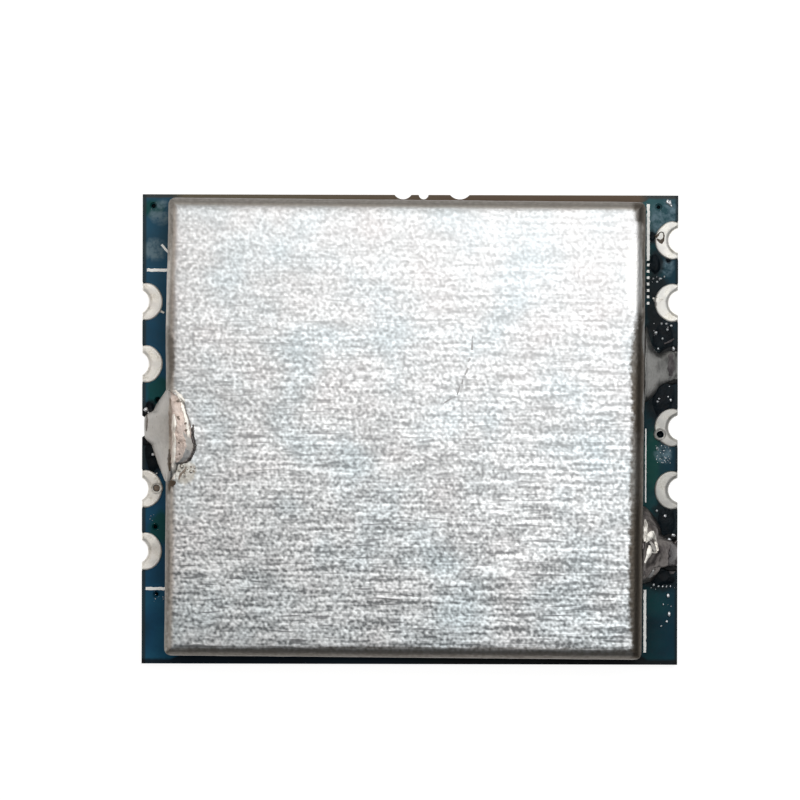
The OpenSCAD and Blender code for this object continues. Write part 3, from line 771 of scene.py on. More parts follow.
def cast(name, node, materials, choose, smoothing, waves, trim=None, rounds=0):
    """Solder joint: the CAD solid melted smooth, then moved by waves of (pitch, height)."""
    source = frame["nodes"][node].data.copy()
    source.transform(Matrix.Scale(1 / MM, 4))
    with editing(source) as work:
        bmesh.ops.remove_doubles(work, verts=work.verts, dist=WELD)
    melt = new_object(name + "_melt", source)
    remesh = melt.modifiers.new("voxels", "REMESH")
    remesh.mode = "VOXEL"
    remesh.voxel_size = VOXEL
    smooth = melt.modifiers.new("smooth", "SMOOTH")
    smooth.factor = 0.5
    smooth.iterations = smoothing
    bpy.context.view_layer.update()
    graph = bpy.context.evaluated_depsgraph_get()
    mesh = bpy.data.meshes.new_from_object(melt.evaluated_get(graph))
    bpy.data.objects.remove(melt)
    keep_largest_shell(mesh)
    moves = [
        vertex.normal * (SWELL + sum(height * noise.noise(vertex.co / pitch) for pitch, height in waves))
        for vertex in mesh.vertices
    ]
    for vertex, move in zip(mesh.vertices, moves):
        vertex.co += move
        vertex.co.x = within(vertex.co.x, 0)
    if trim:
        trim([vertex.co for vertex in mesh.vertices])
        settle(mesh, rounds)
    kinds = [choose(face.center) for face in mesh.polygons]
    mesh.transform(Matrix.Scale(MM, 4))
    mesh.name = name
    mesh.shade_smooth()
    piece = new_piece(name, mesh, materials[0], "solder", node)
    for material in materials[1:]:
        mesh.materials.append(material)
    mesh.polygons.foreach_set("material_index", kinds)
    return piece


def lapped(middle):
    """1 on the part of the left joint that lies over the top of the can, 0 and 2 on its facets, whose grey
    and darker grey are painted shade.
    """
    if middle.x < CREASE_X or middle.z < CAN_TOP - FACET_DEPTH:
        return 0
    uneven = FACET_UNEVEN * noise.noise(middle * 5)
    inward = between(LAP_OUTLINE, middle.y) - middle.x + uneven
    down = SLANT * (middle.x - SLANT_X) - middle.y + uneven
    if inward > GREY_W or down < GREY_FROM:
        return 1
    return 0 if down < DARKER_SHADE_FROM else 2


def plain(middle):
    return 0


# Height that rays are cast down from, and shape of the ridges and beads that are laid on a joint
RAY_FROM = 20
RIDGE_STEPS = 8
RIDGE_FOOT = 0.05
RIDGE_SUNK = 0.2
THINNEST = 0.02
BEAD_RISE = 0.35
BEAD_LUMPS = 0.45


def heights(*pieces):
    """A function that gives the height of the highest of some pieces at a place, or of the board."""
    trees = [
        BVHTree.FromPolygons([v.co / MM for v in piece.data.vertices],
                             [tuple(face.vertices) for face in piece.data.polygons])
        for piece in pieces
    ]

    def top_at(x, y):
        hits = [tree.ray_cast(Vector((x, y, RAY_FROM)), Vector((0, 0, -1)))[0] for tree in trees]
        return max([BOARD_TOP] + [hit.z for hit in hits if hit is not None])

    return top_at


def curve(points, steps=6):
    """Points along a smooth curve through points of any number of values."""
    padded = [points[0], *points, points[-1]]
    for before, start, end, after in zip(padded, padded[1:], padded[2:], padded[3:]):
        for i in range(steps):
            t = i / steps
            yield [
                0.5 * (2 * q + (r - p) * t + (2 * p - 5 * q + 4 * r - s) * t ** 2
                       + (3 * q - p - 3 * r + s) * t ** 3)
                for p, q, r, s in zip(before, start, end, after)
            ]
    yield list(points[-1])


def ridge(path, height, top_at, level, seed, ragged):
    """Points and faces of a rounded ridge along (x, y, width) points, laid on what is below it."""
    samples = list(curve(path))
    rings = []
    for i, (x, y, width) in enumerate(samples):
        ahead, behind = samples[min(i + 1, len(samples) - 1)], samples[max(i - 1, 0)]
        across = Vector((behind[1] - ahead[1], ahead[0] - behind[0], 0)).normalized()
        half = max(width, THINNEST) / 2 * (1 + ragged * noise.noise(Vector((i * 0.45, seed, 0))))
        middle = top_at(x, y)
        ring = []
        for j in range(RIDGE_STEPS + 1):
            angle = math.pi * j / RIDGE_STEPS
            place = Vector((x, y, 0)) + across * half * math.cos(angle)
            place.x = within(place.x)
            ground = middle if level else top_at(place.x, place.y)
            lift = height * (1 + 0.4 * noise.noise(Vector((i * 0.3, j * 0.4, seed + 3))))
            place.z = ground + lift * (max(math.sin(angle), 0) ** 0.4 - RIDGE_SUNK)
            ring.append(place)
        ring.extend(Vector((p.x, p.y, p.z - RIDGE_FOOT)) for p in (ring[-1], ring[0]))
        rings.append(ring)
    return loft(rings)


def make_ridges(name, paths, height, material, top_at, slot="solder", level=False, ragged=0.6):
    shape = ([], [])
    for seed, points in enumerate(paths):
        append(shape, *ridge(points, height, top_at, level, seed * 2.7, ragged))
    show(name, shape, material, slot, crease=RIDGE_SHARP)


# Marks on the joints: (x, y, width) along each
# Painted highlights along the lap's rim and along the strip beside its crease
LAP_RIM = ((-9.5, 1.57, 0.08), (-9.34, 1.4, 0.14), (-9.19, 1.16, 0.2), (-9.13, 0.82, 0.15),
           (-9.07, 0.58, 0.14), (-9.01, 0.36, 0.2), (-8.97, 0.11, 0.14), (-8.94, -0.09, 0.18),
           (-8.93, -0.33, 0.1))
LAP_STRIP = ((-9.53, 0.6, 0.08), (-9.5, 0.25, 0.18), (-9.53, -0.1, 0.12), (-9.5, -0.61, 0.18),
             (-9.54, -1.22, 0.16), (-9.51, -1.6, 0.2), (-9.53, -2.03, 0.14))
# Painted shadow along the lap's right edge
LAP_SHADOW_EDGE = ((-8.74, 0.19, 0.06), (-8.76, -0.01, 0.12), (-8.77, -0.21, 0.13), (-8.74, -0.41, 0.14),
            (-8.68, -0.62, 0.13), (-8.68, -0.74, 0.14), (-8.74, -0.9, 0.13), (-8.8, -1.06, 0.14),
            (-8.9, -1.22, 0.13), (-9.02, -1.3, 0.12), (-9.24, -1.38, 0.08))
LAP_PITS = ((-9.36, 1.14, 0.05), (-9.24, 1.1, 0.035), (-9.36, 0.5, 0.055), (-9.32, 0.42, 0.04),
            (-9.05, 0.24, 0.05), (-9.02, -0.04, 0.045), (-9.3, -0.55, 0.04), (-9.28, -1.0, 0.045))
CREASE_BROWN = ((-9.68, 1.25, 0.06), (-9.68, 0.8, 0.13), (-9.68, 0.3, 0.12), (-9.68, -0.3, 0.1),
                (-9.69, -0.9, 0.1))
CREASE_BURNT = ((-9.71, -0.8, 0.05), (-9.71, -1.1, 0.12), (-9.71, -1.4, 0.14), (-9.68, -1.7, 0.06))
END_BURNT = ((-9.76, -2.26, 0.06), (-9.67, -2.21, 0.18), (-9.56, -2.18, 0.25), (-9.44, -2.12, 0.06))
TAIL_BURNT = ((-9.7, -2.24, 0.12), (-9.72, -2.38, 0.09), (-9.72, -2.5, 0.04))
# Burnt flux and painted shadow along the edge of the half-hole
HOLE_SHADOW_AND_FLUX = ((-10.7, 0.58, 0.06), (-10.68, 0.4, 0.12), (-10.69, 0.15, 0.1), (-10.7, -0.1, 0.05))
LAP_CRUMBS = ((-9.2, -1.5, 0.09), (-8.84, -1.71, 0.07), (-8.68, -1.54, 0.06), (-9.08, -1.86, 0.07),
              (-9.3, -1.68, 0.05), (-8.97, -1.6, 0.05))
# Brown film between the lap's crumbs: painted shade
CRUMB_SHADE = (
    ((-9.04, -1.5, 0.05), (-9.08, -1.66, 0.09), (-9.24, -1.82, 0.1), (-9.32, -2.03, 0.05)),
    ((-8.84, -1.48, 0.06), (-8.82, -1.56, 0.06)),
    ((-8.76, -1.65, 0.04), (-8.7, -1.74, 0.07)),
)
# Painted highlights on the facets of the lower right joint
MOUND_FACETS = (
    ((9.52, -3.6, 0.06), (9.53, -3.82, 0.2), (9.52, -4.06, 0.2), (9.5, -4.3, 0.18), (9.5, -4.49, 0.1)),
    ((9.52, -4.51, 0.1), (9.65, -4.36, 0.25), (9.75, -4.2, 0.25), (9.83, -4.07, 0.1)),
    ((9.83, -4.07, 0.08), (9.87, -4.3, 0.17), (9.93, -4.51, 0.16), (9.99, -4.71, 0.15),
     (10.01, -4.89, 0.12)),
    ((10.02, -4.91, 0.1), (9.89, -4.94, 0.08), (9.75, -4.93, 0.04)),
    ((9.7, -4.65, 0.1), (9.68, -4.85, 0.27), (9.63, -5.01, 0.25), (9.56, -5.15, 0.2), (9.5, -5.36, 0.08)),
)
MOUND_SHEEN = ((9.72, -4.5, 0.08), (9.8, -4.66, 0.2), (9.88, -4.82, 0.2), (9.92, -4.93, 0.08))
# Painted highlight on a low facet of the mound
MOUND_LOW_FACET = ((9.9, -5.66, 0.08), (9.78, -5.82, 0.2), (9.66, -5.98, 0.12))
MOUND_FLUX = ((10.7, -4.62, 0.2), (10.72, -4.9, 0.36), (10.7, -5.23, 0.4), (10.68, -5.55, 0.36),
              (10.68, -5.85, 0.2))
FILLET_FLUX = ((10.6, 3.1, 0.16), (10.62, 2.65, 0.3), (10.6, 2.2, 0.16))


def make_solder(can):
    left = cast("solder_fan_left", "solder_left", (FAN_SOLDER, LAP_SOLDER, PAINTED_MIDTONE_SOLDER), lapped, 4,
                ((0.7, 0.02), (0.2, 0.012)), trim_lap)
    upper = cast("solder_fillet_right", "solder_right_upper", (FILLET_SOLDER,), plain, 8,
                 ((0.6, 0.03),), trim_fillet, 12)
    lower = cast("solder_mound_right", "solder_right_lower", (DULL_SOLDER_AND_SHADE,), plain, 4,
                 ((0.55, 0.06), (0.22, 0.02)))
    on_left, on_upper, on_lower = heights(can, left), heights(can, upper), heights(can, lower)
    # Painted highlights on the lap
    make_ridges("lap_painted_highlights", (LAP_RIM, LAP_STRIP), 0.025, HIGHLIGHT_SOLDER, on_left)
    # Painted shadow along the lap's right edge
    make_ridges("lap_painted_shadow", (LAP_SHADOW_EDGE,), 0.03, DULL_SOLDER_AND_SHADE, on_left)
    make_ridges("brown_crease", (CREASE_BROWN,), 0.02, BROWN_FLUX, on_left)
    make_ridges("burnt_flux_left", (CREASE_BURNT, END_BURNT, TAIL_BURNT), 0.03, BURNT_FLUX, on_left)
    # Painted shadow and burnt flux at the half-hole's edge
    make_ridges("half_hole_shadow_and_flux", (HOLE_SHADOW_AND_FLUX,), 0.03, BURNT_FLUX, on_left, ragged=0.2)
    # Brown film between the crumbs: painted shade
    make_ridges("crumb_painted_shade", CRUMB_SHADE, 0.015, BROWN_FLUX, on_left)
    make_beads("lap_pits", LAP_PITS, BROWN_FLUX, on_left, 2)
    # Crumbs of solder in the painted highlight tone
    make_beads("lap_crumbs", LAP_CRUMBS, HIGHLIGHT_SOLDER, on_left, 3)
    # Painted highlights on the mound's facets
    make_ridges("mound_painted_highlights", MOUND_FACETS, 0.05, HIGHLIGHT_SOLDER, on_lower, level=True, ragged=0.1)
    make_ridges("mound_sheen", (MOUND_SHEEN,), 0.03, FAN_SOLDER, on_lower, level=True, ragged=0.1)
    # Painted highlight on a low facet of the mound
    make_ridges("mound_low_painted_highlight", (MOUND_LOW_FACET,), 0.04, PAINTED_MIDTONE_SOLDER, on_lower, level=True, ragged=0.1)
    make_ridges("mound_flux", (MOUND_FLUX,), 0.05, GREY_FLUX, on_lower, "board_mask")
    make_ridges("fillet_flux", (FILLET_FLUX,), 0.02, GREY_FLUX, on_upper, "board_mask")


def drawn_stretch(draw, wide, high):
    """Random stretch of a drop along x, y and z."""
    return Vector([draw.uniform(*limits) for limits in (wide, wide, high)])


def make_beads(name, places, material, top_at, seed):
    """Small uneven drops of solder or flux at (x, y, radius)."""
    draw = random.Random(seed)
    shape = ([], [])
    for x, y, r in places:
        stretch = drawn_stretch(draw, (0.8, 1.3), (0.7, 1))
        add_ball(shape, Vector((x, y, top_at(x, y) + BEAD_RISE * r)), r, stretch, BEAD_LUMPS)
    show(name, shape, material, "solder", crease=BALL_SHARP)


# Scratch on the can, (x, y, width) along it
CAN_SCRATCH = (
    ((2.5, 3.78, 0.03), (2.5, 3.5, 0.05), (2.49, 3.22, 0.09)),
    ((2.42, 2.9, 0.09), (2.34, 2.73, 0.04)),
    ((2.34, 2.49, 0.04), (2.28, 2.36, 0.07), (2.21, 2.21, 0.04)),
    ((2.13, 2.05, 0.04), (2.09, 1.85, 0.09)),
    ((2.01, 1.77, 0.05), (1.95, 1.58, 0.07), (1.89, 1.4, 0.04)),
    ((1.69, 1.28, 0.04), (1.5, 1.17, 0.05), (1.33, 1.04, 0.03)),
)


def make_scratch(can):
    make_ridges("can_scratch", CAN_SCRATCH, 0.006, SCRATCH, heights(can), "tinplate")


# Half-holes

LAND_STEPS = 40
DOME_STEPS = 16
VIA_STEPS = 28
RING_STEPS = 6
TENT_STEPS = 24
LAND_UNEVEN = 0.02
LAND_TIP = 0.12
LAND_LEAST = 0.02
SLIVER = 0.001


def land_reach(angle):
    """Distance from the hole's centre to the outline of its land."""
    side = LAND_R / max(abs(math.sin(angle)), 1e-6)
    if side * abs(math.cos(angle)) <= LAND_SHIFT:
        return side
    across = LAND_SHIFT * math.sin(angle)
    return LAND_SHIFT * math.cos(angle) + math.sqrt(LAND_R ** 2 - across ** 2)


def land_sections(side, inner, outer):
    """(angle, start, end) of the metal round a half-hole, between two distances from its centre."""
    past = EDGE_OFFSET[side]
    widest = math.atan2(LAND_R, past) if outer is None else math.acos(past / outer)
    for i in range(LAND_STEPS + 1):
        angle = widest * (2 * i / LAND_STEPS - 1)
        end = land_reach(angle) if outer is None else outer
        yield angle, min(max(inner, past / math.cos(angle)), end - SLIVER), end


def domed_tin(side, seed):
    """Tin of an upper land: round at its outline, falling away to the hole, a little uneven."""
    rings = []
    widest = math.atan2(LAND_R, EDGE_OFFSET[side])
    for angle, start, end in land_sections(side, HOLE_R, None):
        end += LAND_UNEVEN * noise.noise(Vector((angle * 2.2, seed, 0))) - LAND_TIP * (angle / widest) ** 10
        end = max(end, start + LAND_LEAST)
        ring = [polar(angle, start, BOARD_TOP - LAND_T), polar(angle, end, BOARD_TOP - LAND_T)]
        for j in range(DOME_STEPS + 1):
            r = end + (start - end) * (1 - math.cos(math.pi * j / DOME_STEPS)) / 2
            rise = math.sqrt(1 - (1 - min((end - r) / TIN_EDGE, 1)) ** 2)
            fall = min(max(r - start, 0) / RIM_W, 1) ** 0.8
            lift = TIN_H * (1 + 0.35 * noise.noise(Vector((angle * 1.7, r * 3, seed + 5))))
            ring.append(polar(angle, r, BOARD_TOP - RIM_DROP * (1 - fall) + lift * rise * fall))
        rings.append(ring)
    return loft(rings)


def flat_metal(side, inner, outer, low, high):
    rings = []
    for angle, start, end in land_sections(side, inner, outer):
        section = ((start, low), (end, low), (end, high), (start, high))
        rings.append([polar(angle, r, z) for r, z in section])
    return loft(rings)


def ring_of_tin(centre, r_in, r_out, low, high):
    """Rounded ring of tin round a via."""
    middle, half = (r_in + r_out) / 2, (r_out - r_in) / 2
    section = [(r_in, low), (r_out, low)]
    for i in range(RING_STEPS + 1):
        bend = math.pi * i / RING_STEPS
        section.append((middle + half * math.cos(bend), BOARD_TOP + (high - BOARD_TOP) * math.sin(bend)))
    angles = [2 * math.pi * i / VIA_STEPS for i in range(VIA_STEPS)]
    return hoop([[centre + polar(angle, r, z) for r, z in section] for angle in angles])


def drilled(points, faces, centre):
    """Points and faces of a closed shell with a via's hole through it."""
    solid = new_object("solid", new_mesh("solid", points, faces))
    drill = new_object("drill", new_mesh("drill", *loft(
        [circle(centre, VIA_R, z, VIA_STEPS, 0.5) for z in (-1, BOARD_TOP + 1)])))
    cut = solid.modifiers.new("via", "BOOLEAN")
    cut.operation = "DIFFERENCE"
    cut.object = drill
    bpy.context.view_layer.update()
    made = solid.evaluated_get(bpy.context.evaluated_depsgraph_get()).data
    result = [v.co / MM for v in made.vertices], [tuple(f.vertices) for f in made.polygons]
    for obj in (solid, drill):
        bpy.data.objects.remove(obj)
    return result


def make_pad(side, number, material, via_y=None):
    name = f"{'left' if side < 0 else 'right'}_{number}"
    low, high = box_mm("pad_" + name)
    edge = BOARD_LOW.x if side < 0 else BOARD_HIGH.x
    hole = Vector((edge + side * EDGE_OFFSET[side], (low.y + high.y) / 2, 0))
    shells = [
        domed_tin(side, number * 3.1 + side),
        flat_metal(side, HOLE_R, None, 0, LAND_T),
        flat_metal(side, HOLE_R, HOLE_R + PLATING, LAND_T / 2, BOARD_TOP),
    ]
    if via_y is not None:
        centre = Vector((VIA_FROM_HOLE, via_y, 0))
        shells[:2] = [drilled(*shell, centre) for shell in shells[:2]]
        shells.append(ring_of_tin(centre, VIA_R - VIA_LAP, VIA_RING_R, BOARD_TOP - LAND_T,
                                  BOARD_TOP + VIA_RING_H))
    shape = ([], [])
    for shell in shells:
        append(shape, *shell)
    points = [Vector((hole.x - side * p.x, hole.y + p.y, p.z)) for p in shape[0]]
    show("tin_" + name, (points, shape[1]), material, "tinned_copper", "pad_" + name)


# Half-holes on each side, those under a joint, and how far up the land some have a via
PAD_COUNTS = {-1: 5, 1: 6}
SOLDERED = {(-1, 3), (1, 3), (1, 6)}
PAD_VIAS = {(-1, 4): 0.03, (1, 4): -0.27}


def make_pads():
    for side, count in PAD_COUNTS.items():
        for number in range(1, count + 1):
            material = STAINED_TIN if (side, number) in SOLDERED else PAD_TIN
            make_pad(side, number, material, PAD_VIAS.get((side, number)))


# Heights of the tents' foot, outer and inner edge, of the dark plug that paints the shade of the open holes,
# and of the resin in the filled hole
TENT_FOOT = 0.3
TENT_TOP = 0.72
TENT_LIP = 0.66
SHADE_PLUG_LEVEL = 0.56
RESIN_LEVEL = 0.78
PLUG_LAP = 0.002
PLUG_RISE = 0.04
PLUG_TIP_R = 0.01


def make_via_tents():
    """Mask that narrows each via, and what is left in it: resin, or a dark plug that paints the shade of the
    open hole.
    """
    tents, dark, filled = ([], []), ([], []), ([], [])
    for hole, gap in VIAS:
        centre = Vector((*hole, 0))
        wall, plug = VIA_R - VIA_LAP, gap + PLUG_LAP
        rows = ((wall, TENT_FOOT), (wall, TENT_TOP), (gap, TENT_LIP), (gap, TENT_FOOT))
        append(tents, *hoop([circle(centre, r, z, TENT_STEPS) for r, z in rows]))
        shape, level = (filled, RESIN_LEVEL) if hole == RESIN_VIA else (dark, SHADE_PLUG_LEVEL)
        rise = level + PLUG_RISE
        rows = ((plug, TENT_FOOT), (plug, level), (gap / 2, rise), (PLUG_TIP_R, (level + rise) / 2))
        append(shape, *loft([circle(centre, r, z, TENT_STEPS) for r, z in rows]))
    show("via_tents", tents, MASK, "board_mask")
    # The dark plugs paint the shade of the open via holes
    show("via_hole_shade", dark, FLUX, "board_mask")
    show("via_resin", filled, BROWN_FLUX, "board_mask")


# Legend, flux and specks on the board

# Steps and edge of a printed line, and the row of dots
INK_STEP = 0.08
INK_EDGE_H = 0.6 * INK_H
DOTS = 7
DOT_X = 9.68
DOT_Y = 6.78
DOT_PITCH = 0.26
DOT_L = 0.11

# Puddles of flux and specks of solder
FILM_SPOKES = 56
FILM_RINGS = 8
FILM_CORE = 0.02
FILM_LEAST = 0.002
FILM_FOOT = 0.01
SPECK_R = (0.009, 0.022)
SPECK_RISE = 0.4
SPECK_MARGIN = 0.08


def make_stripe(name, start, end, width, seed):
    """A printed line with slightly ragged edges."""
    start, end = Vector((*start, 0)), Vector((*end, 0))
    steps = max(4, round((end - start).length / INK_STEP))
    across = Vector((start.y - end.y, end.x - start.x, 0)).normalized()
    rings = []
    for i in range(steps + 1):
        middle = start.lerp(end, i / steps)
        halves = [width / 2 * (1 + 0.5 * noise.noise(Vector((i * 0.6, seed, side)))) for side in (0, 7)]
        a, b = middle + across * halves[0], middle - across * halves[1]
        section = ((a, 0), (b, 0), (b, INK_EDGE_H), (middle, INK_H), (a, INK_EDGE_H))
        rings.append([Vector((p.x, p.y, BOARD_TOP + z)) for p, z in section])
    show(name, loft(rings), INK, "board_mask")


def make_legend():
    make_stripe("legend_left_upper", (-10.72, 6.46), (-9.88, 6.46), 0.12, 1)
    make_stripe("legend_left_lower", (-10.74, -6.5), (-9.95, -6.5), 0.12, 2)
    make_stripe("legend_left_dash", (-10.13, 7.5), (-9.8, 7.13), 0.09, 3)
    make_stripe("legend_right_upper", (9.68, 9.2), (9.68, 6.9), 0.12, 4)
    for i in range(DOTS):
        y = DOT_Y - i * DOT_PITCH
        make_stripe(f"legend_right_dot_{i + 1}", (DOT_X, y), (DOT_X, y - DOT_L), 0.1, 5 + i)
    make_stripe("legend_right_middle", (9.6, 0.06), (9.6, -2.95), 0.05, 20)
    make_stripe("legend_right_lower", (9.58, -6.5), (9.58, -9.05), 0.11, 21)


def make_film(name, centre, radii, seed):
    """A thin puddle of flux with a ragged outline, kept on the board."""
    rings = []
    for j in range(FILM_RINGS + 1):
        share = 1 - j / FILM_RINGS
        ring = []
        for i in range(FILM_SPOKES):
            out = polar(2 * math.pi * i / FILM_SPOKES, 1, 0)
            reach = 1 + 0.3 * noise.noise(out * 1.3 + Vector((0, 0, seed)))
            reach += 0.12 * noise.noise(out * 4 + Vector((0, 0, seed + 9)))
            reach *= max(share, FILM_CORE)
            x = within(centre[0] + radii[0] * reach * out.x)
            y = centre[1] + radii[1] * reach * out.y
            lift = FLUX_H * (1 - share ** 3) * (1 + 0.6 * noise.noise(Vector((x * 3, y * 3, seed))))
            ring.append(Vector((x, y, BOARD_TOP + max(lift, FILM_LEAST))))
        rings.append(ring)
    foot = [Vector((p.x, p.y, BOARD_TOP - FILM_FOOT)) for p in rings[0]]
    show(name, loft([foot] + rings), FLUX, "board_mask", crease=RIDGE_SHARP)


def make_flux():
    for i, (centre, radii) in enumerate(FLUX_PATCHES):
        make_film(f"flux_{i + 1}", centre, [r * FLUX_CORE for r in radii], i + 1)


# Drops of solder on the board, (x, y, radius), and short marks on it, (x, y, width)
RIGHT_BEADS = (
    (9.99, 3.95, 0.073), (10.26, 3.72, 0.045), (10.7, 3.32, 0.081), (10.09, 3.32, 0.037),
    (10.07, 1.16, 0.061), (10.13, 1.28, 0.053), (10.6, 1.22, 0.061), (10.5, 1.36, 0.037),
    (10.38, -3.5, 0.077), (10.72, -4.27, 0.073), (10.56, -4.46, 0.073), (10.05, -3.28, 0.045),
    (9.93, -6.29, 0.057), (10.13, -6.35, 0.037), (10.3, -6.37, 0.041), (10.46, -6.37, 0.037),
    (10.62, -6.35, 0.041), (10.52, -6.73, 0.075), (10.33, -7.1, 0.045), (10.57, -7.48, 0.08),
    (10.47, -7.78, 0.05), (10.25, -7.97, 0.04), (9.89, 6.17, 0.049), (10.18, 6.17, 0.057),
    (10.05, 6.04, 0.037), (10.34, 6.25, 0.041), (10.05, -0.75, 0.049), (10.34, -0.83, 0.041),
    (10.22, 4.33, 0.06), (10.42, 4.33, 0.05), (10.62, 4.25, 0.06), (10.46, 4.09, 0.07),
    (10.46, 9.29, 0.07), (10.56, 9.24, 0.09), (10.62, 9.13, 0.05),
)
LEFT_BEADS = ((-10.74, 0.79, 0.081), (-10.64, 0.67, 0.045), (-10.44, -1.04, 0.065), (-10.3, -1.81, 0.041))
TIN_SPURS = (
    ((10.14, 5.18, 0.4), (10.02, 5.29, 0.24), (9.86, 5.38, 0.06)),
    ((-10.2, 4.82, 0.12), (-10.02, 4.72, 0.07)),
)
FLUX_STREAK = ((10.34, 3.52, 0.05), (10.54, 3.6, 0.08), (10.74, 3.72, 0.06))
PAD_STAIN = ((9.98, 7.86, 0.14), (10.06, 7.92, 0.08), (10.13, 8.02, 0.05), (10.24, 8.06, 0.04),
             (10.31, 7.97, 0.05), (10.3, 7.8, 0.08), (10.22, 7.68, 0.17), (10.12, 7.71, 0.12),
             (10.04, 7.78, 0.06))


def make_marks():
    pieces = [obj for obj in bpy.context.scene.objects if obj.name.startswith(("tin_", "flux_"))]
    on_board = heights(*pieces)
    make_beads("beads_right", RIGHT_BEADS, BEAD_SOLDER, on_board, 5)
    make_beads("beads_left", LEFT_BEADS, BEAD_SOLDER, on_board, 6)
    make_ridges("tin_spurs", TIN_SPURS, 0.05, PAD_TIN, on_board, "tinned_copper")
    make_ridges("flux_on_pad", (PAD_STAIN,), 0.02, BURNT_FLUX, on_board, "board_mask")
    make_ridges("flux_streak", (FLUX_STREAK,), 0.03, GREY_FLUX, on_board, "board_mask")


def make_specks(name, zones, seed):
    """Tiny balls of solder, scattered over zones of (x, y, half x, half y, count)."""
    draw = random.Random(seed)
    shape = ([], [])
    for x, y, half_x, half_y, count in zones:
        for _ in range(count):
            r = draw.uniform(*SPECK_R)
            centre = Vector((x + draw.uniform(-half_x, half_x), y + draw.uniform(-half_y, half_y),
                             BOARD_TOP + SPECK_RISE * r))
            centre.x = within(centre.x, SPECK_MARGIN)
            add_ball(shape, centre, r, drawn_stretch(draw, (0.8, 1.5), (0.6, 1)))
    show(name, shape, BEAD_SOLDER, "solder", crease=BALL_SHARP)


def make_all_specks():
    make_specks("specks_right", (
        (10.25, 3.95, 0.4, 0.45, 6), (10.5, 1.4, 0.35, 0.5, 5), (10.3, -0.95, 0.32, 0.4, 34),
        (10.2, -6.4, 0.45, 0.08, 8), (10.6, -7.0, 0.2, 0.6, 3), (10.0, 6.1, 0.3, 0.15, 6),
    ), 4)
    make_specks("specks_left", (
        (-10.45, -1.2, 0.25, 0.6, 4), (-10.3, -3.6, 0.3, 0.3, 4), (-10.2, -6.8, 0.2, 0.25, 5),
    ), 9)


# Materials of the carried-over CAD nodes

# Lengths of a chip part's end bands and of a lead, heights of a terminal and of a crystal's case
BAND_L = 0.23
LEAD_L = 0.58
TERMINAL_H = 0.21
TERMINAL_IN = 0.03
CASE_H = 0.51


def paint(node, materials, choose):
    """Gives a CAD node its materials, and each face the one that its middle and normal ask for."""
    mesh = frame["nodes"][node].data
    mesh.materials.clear()
    for material in materials:
        mesh.materials.append(material)
    low, high = box_mm(node)
    for face in mesh.polygons:
        face.material_index = choose(face.center / MM, face.normal, low, high)


def board_face(middle, normal, low, high):
    return 0 if abs(normal.z) > 0.9 else 1


def banded_face(middle, normal, low, high):
    """1 on the metal bands at the two ends of a chip part, along its longer side."""
    size = high - low
    axis = 0 if size.x >= size.y else 1
    return 1 if min(middle[axis] - low[axis], high[axis] - middle[axis]) < BAND_L else 0


def resistor_face(middle, normal, low, high):
    """2 on the film of a chip resistor, which covers its top between the bands."""
    if banded_face(middle, normal, low, high):
        return 1
    return 2 if normal.z > 0.5 else 0


def chip_face(middle, normal, low, high):
    """1 on the terminals that show round the foot of a leadless chip."""
    edge = min(middle.x - low.x, high.x - middle.x, middle.y - low.y, high.y - middle.y)
    return 1 if middle.z < BOARD_TOP + TERMINAL_H and edge < TERMINAL_IN else 0


def regulator_face(middle, normal, low, high):
    return 1 if min(middle.y - low.y, high.y - middle.y) < LEAD_L else 0


def crystal_face(middle, normal, low, high):
    return 1 if middle.z > BOARD_TOP + CASE_H else 0


def paint_nodes():
    paint("circuit_board", (MASK, LAMINATE), board_face)
    resistors = ("channel_resistor", "video_termination_resistor", "loop_filter_resistor")
    kinds = (
        (resistors, (RESISTOR_BODY, TERMINAL, RESISTOR_FILM), resistor_face),
        (("transmitter_chip", "power_amplifier_chip"), (CHIP_PLASTIC, TERMINAL), chip_face),
        (("amplifier_choke", "matching_inductor"), (WINDING, TERMINAL), banded_face),
        ("supply_bead", (FERRITE, TERMINAL), banded_face),
        ("voltage_regulator", (CHIP_PLASTIC, TERMINAL), regulator_face),
        ("harmonic_filter", (FILTER_BODY, TERMINAL), banded_face),
        ("reference_crystal", (CHIP_PLASTIC, CRYSTAL_LID), crystal_face),
        ("", (CAPACITOR, TERMINAL), banded_face),
    )
    shown = ("circuit_board", "shield_can", "solder_", "pad_")
    for node in sorted(frame["nodes"]):
        if not node.startswith(shown):
            paint(node, *next(looks for start, *looks in kinds if node.startswith(start)))


# Floor, light and camera

FLOOR_HALF = 600
FLOOR_Z = -0.02

# Camera: its height over the board, the width that it sees there, its place above it and its roll
CAMERA_D = 250.0
SENSOR = 36.0
PHOTO_W = 32.56
PHOTO_MIDDLE = (-0.407, 1.2)
PHOTO_ROLL = math.radians(0.15)


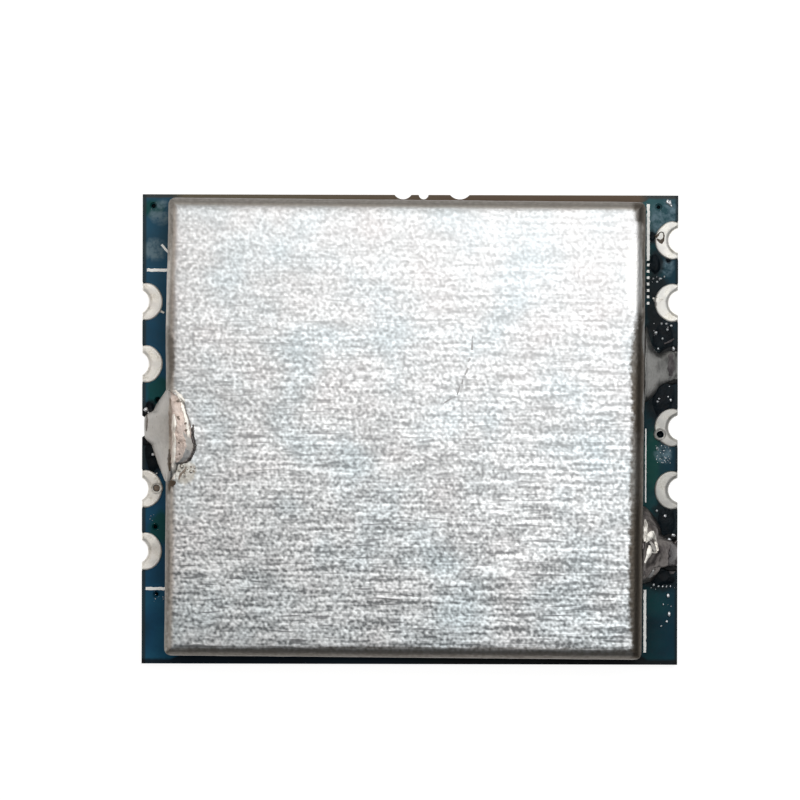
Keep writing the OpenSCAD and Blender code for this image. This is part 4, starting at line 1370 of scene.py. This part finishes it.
def make_floor():
    s = Shader("floor", Specular_IOR_Level=0.1, Emission_Color=(1, 1, 1, 1), Emission_Strength=0.9)
    s.finish(s.ramp(s.noise(0.02), (0.3, (0.3, 0.3, 0.3)), (0.7, (0.33, 0.33, 0.33))), 0.7)
    mesh = bpy.data.meshes.new("floor")
    corners = [
        Vector((x * FLOOR_HALF, y * FLOOR_HALF, FLOOR_Z)) * MM
        for x, y in ((-1, -1), (1, -1), (1, 1), (-1, 1))
    ]
    mesh.from_pydata(corners, [], [(0, 1, 2, 3)])
    mesh.materials.append(s.material)
    new_object("floor", mesh)


def make_light(name, place, size, power, colour=(1, 1, 1), target=(0, 0, 0)):
    data = bpy.data.lights.new(name, "AREA")
    data.shape = "RECTANGLE"
    data.size, data.size_y = size[0] * MM, size[1] * MM
    data.energy = power
    data.color = colour
    light = new_object(name, data)
    light.location = Vector(place) * MM
    light.rotation_euler = (Vector(target) - Vector(place)).to_track_quat("-Z", "Y").to_euler()
    light.visible_camera = False


def make_lights():
    make_light("softbox", (12, 16, 62), (50, 48), 0.0215, target=(9, 11, 0))
    make_light("left_card", (-46, 4, 58), (30, 70), 0.006, (1, 0.86, 0.76))
    make_light("low_card", (-75, 0, 14), (80, 30), 0.003, (1, 0.95, 0.9))
    make_light("upper_card", (0, 62, 44), (140, 50), 0.0125, (1, 0.93, 0.86))
    world = bpy.data.worlds.new("studio")
    world.use_nodes = True
    background = world.node_tree.nodes["Background"]
    background.inputs["Color"].default_value = (0.9, 0.95, 1, 1)
    background.inputs["Strength"].default_value = 0.14
    bpy.context.scene.world = world


def make_camera():
    data = bpy.data.cameras.new("camera")
    data.sensor_width = SENSOR
    data.lens = SENSOR * CAMERA_D / PHOTO_W
    data.clip_start = 0.01
    data.clip_end = 10
    camera = new_object("camera", data)
    camera.location = Vector((*PHOTO_MIDDLE, BOARD_TOP + CAMERA_D)) * MM
    camera.rotation_euler = (0, 0, PHOTO_ROLL)
    bpy.context.scene.camera = camera
    bpy.context.scene.view_settings.view_transform = "Standard"


can_shell = make_can()
make_solder(can_shell)
make_scratch(can_shell)
make_pads()
make_via_tents()
make_legend()
make_flux()
make_marks()
make_all_specks()
paint_nodes()
make_floor()
make_lights()
make_camera()
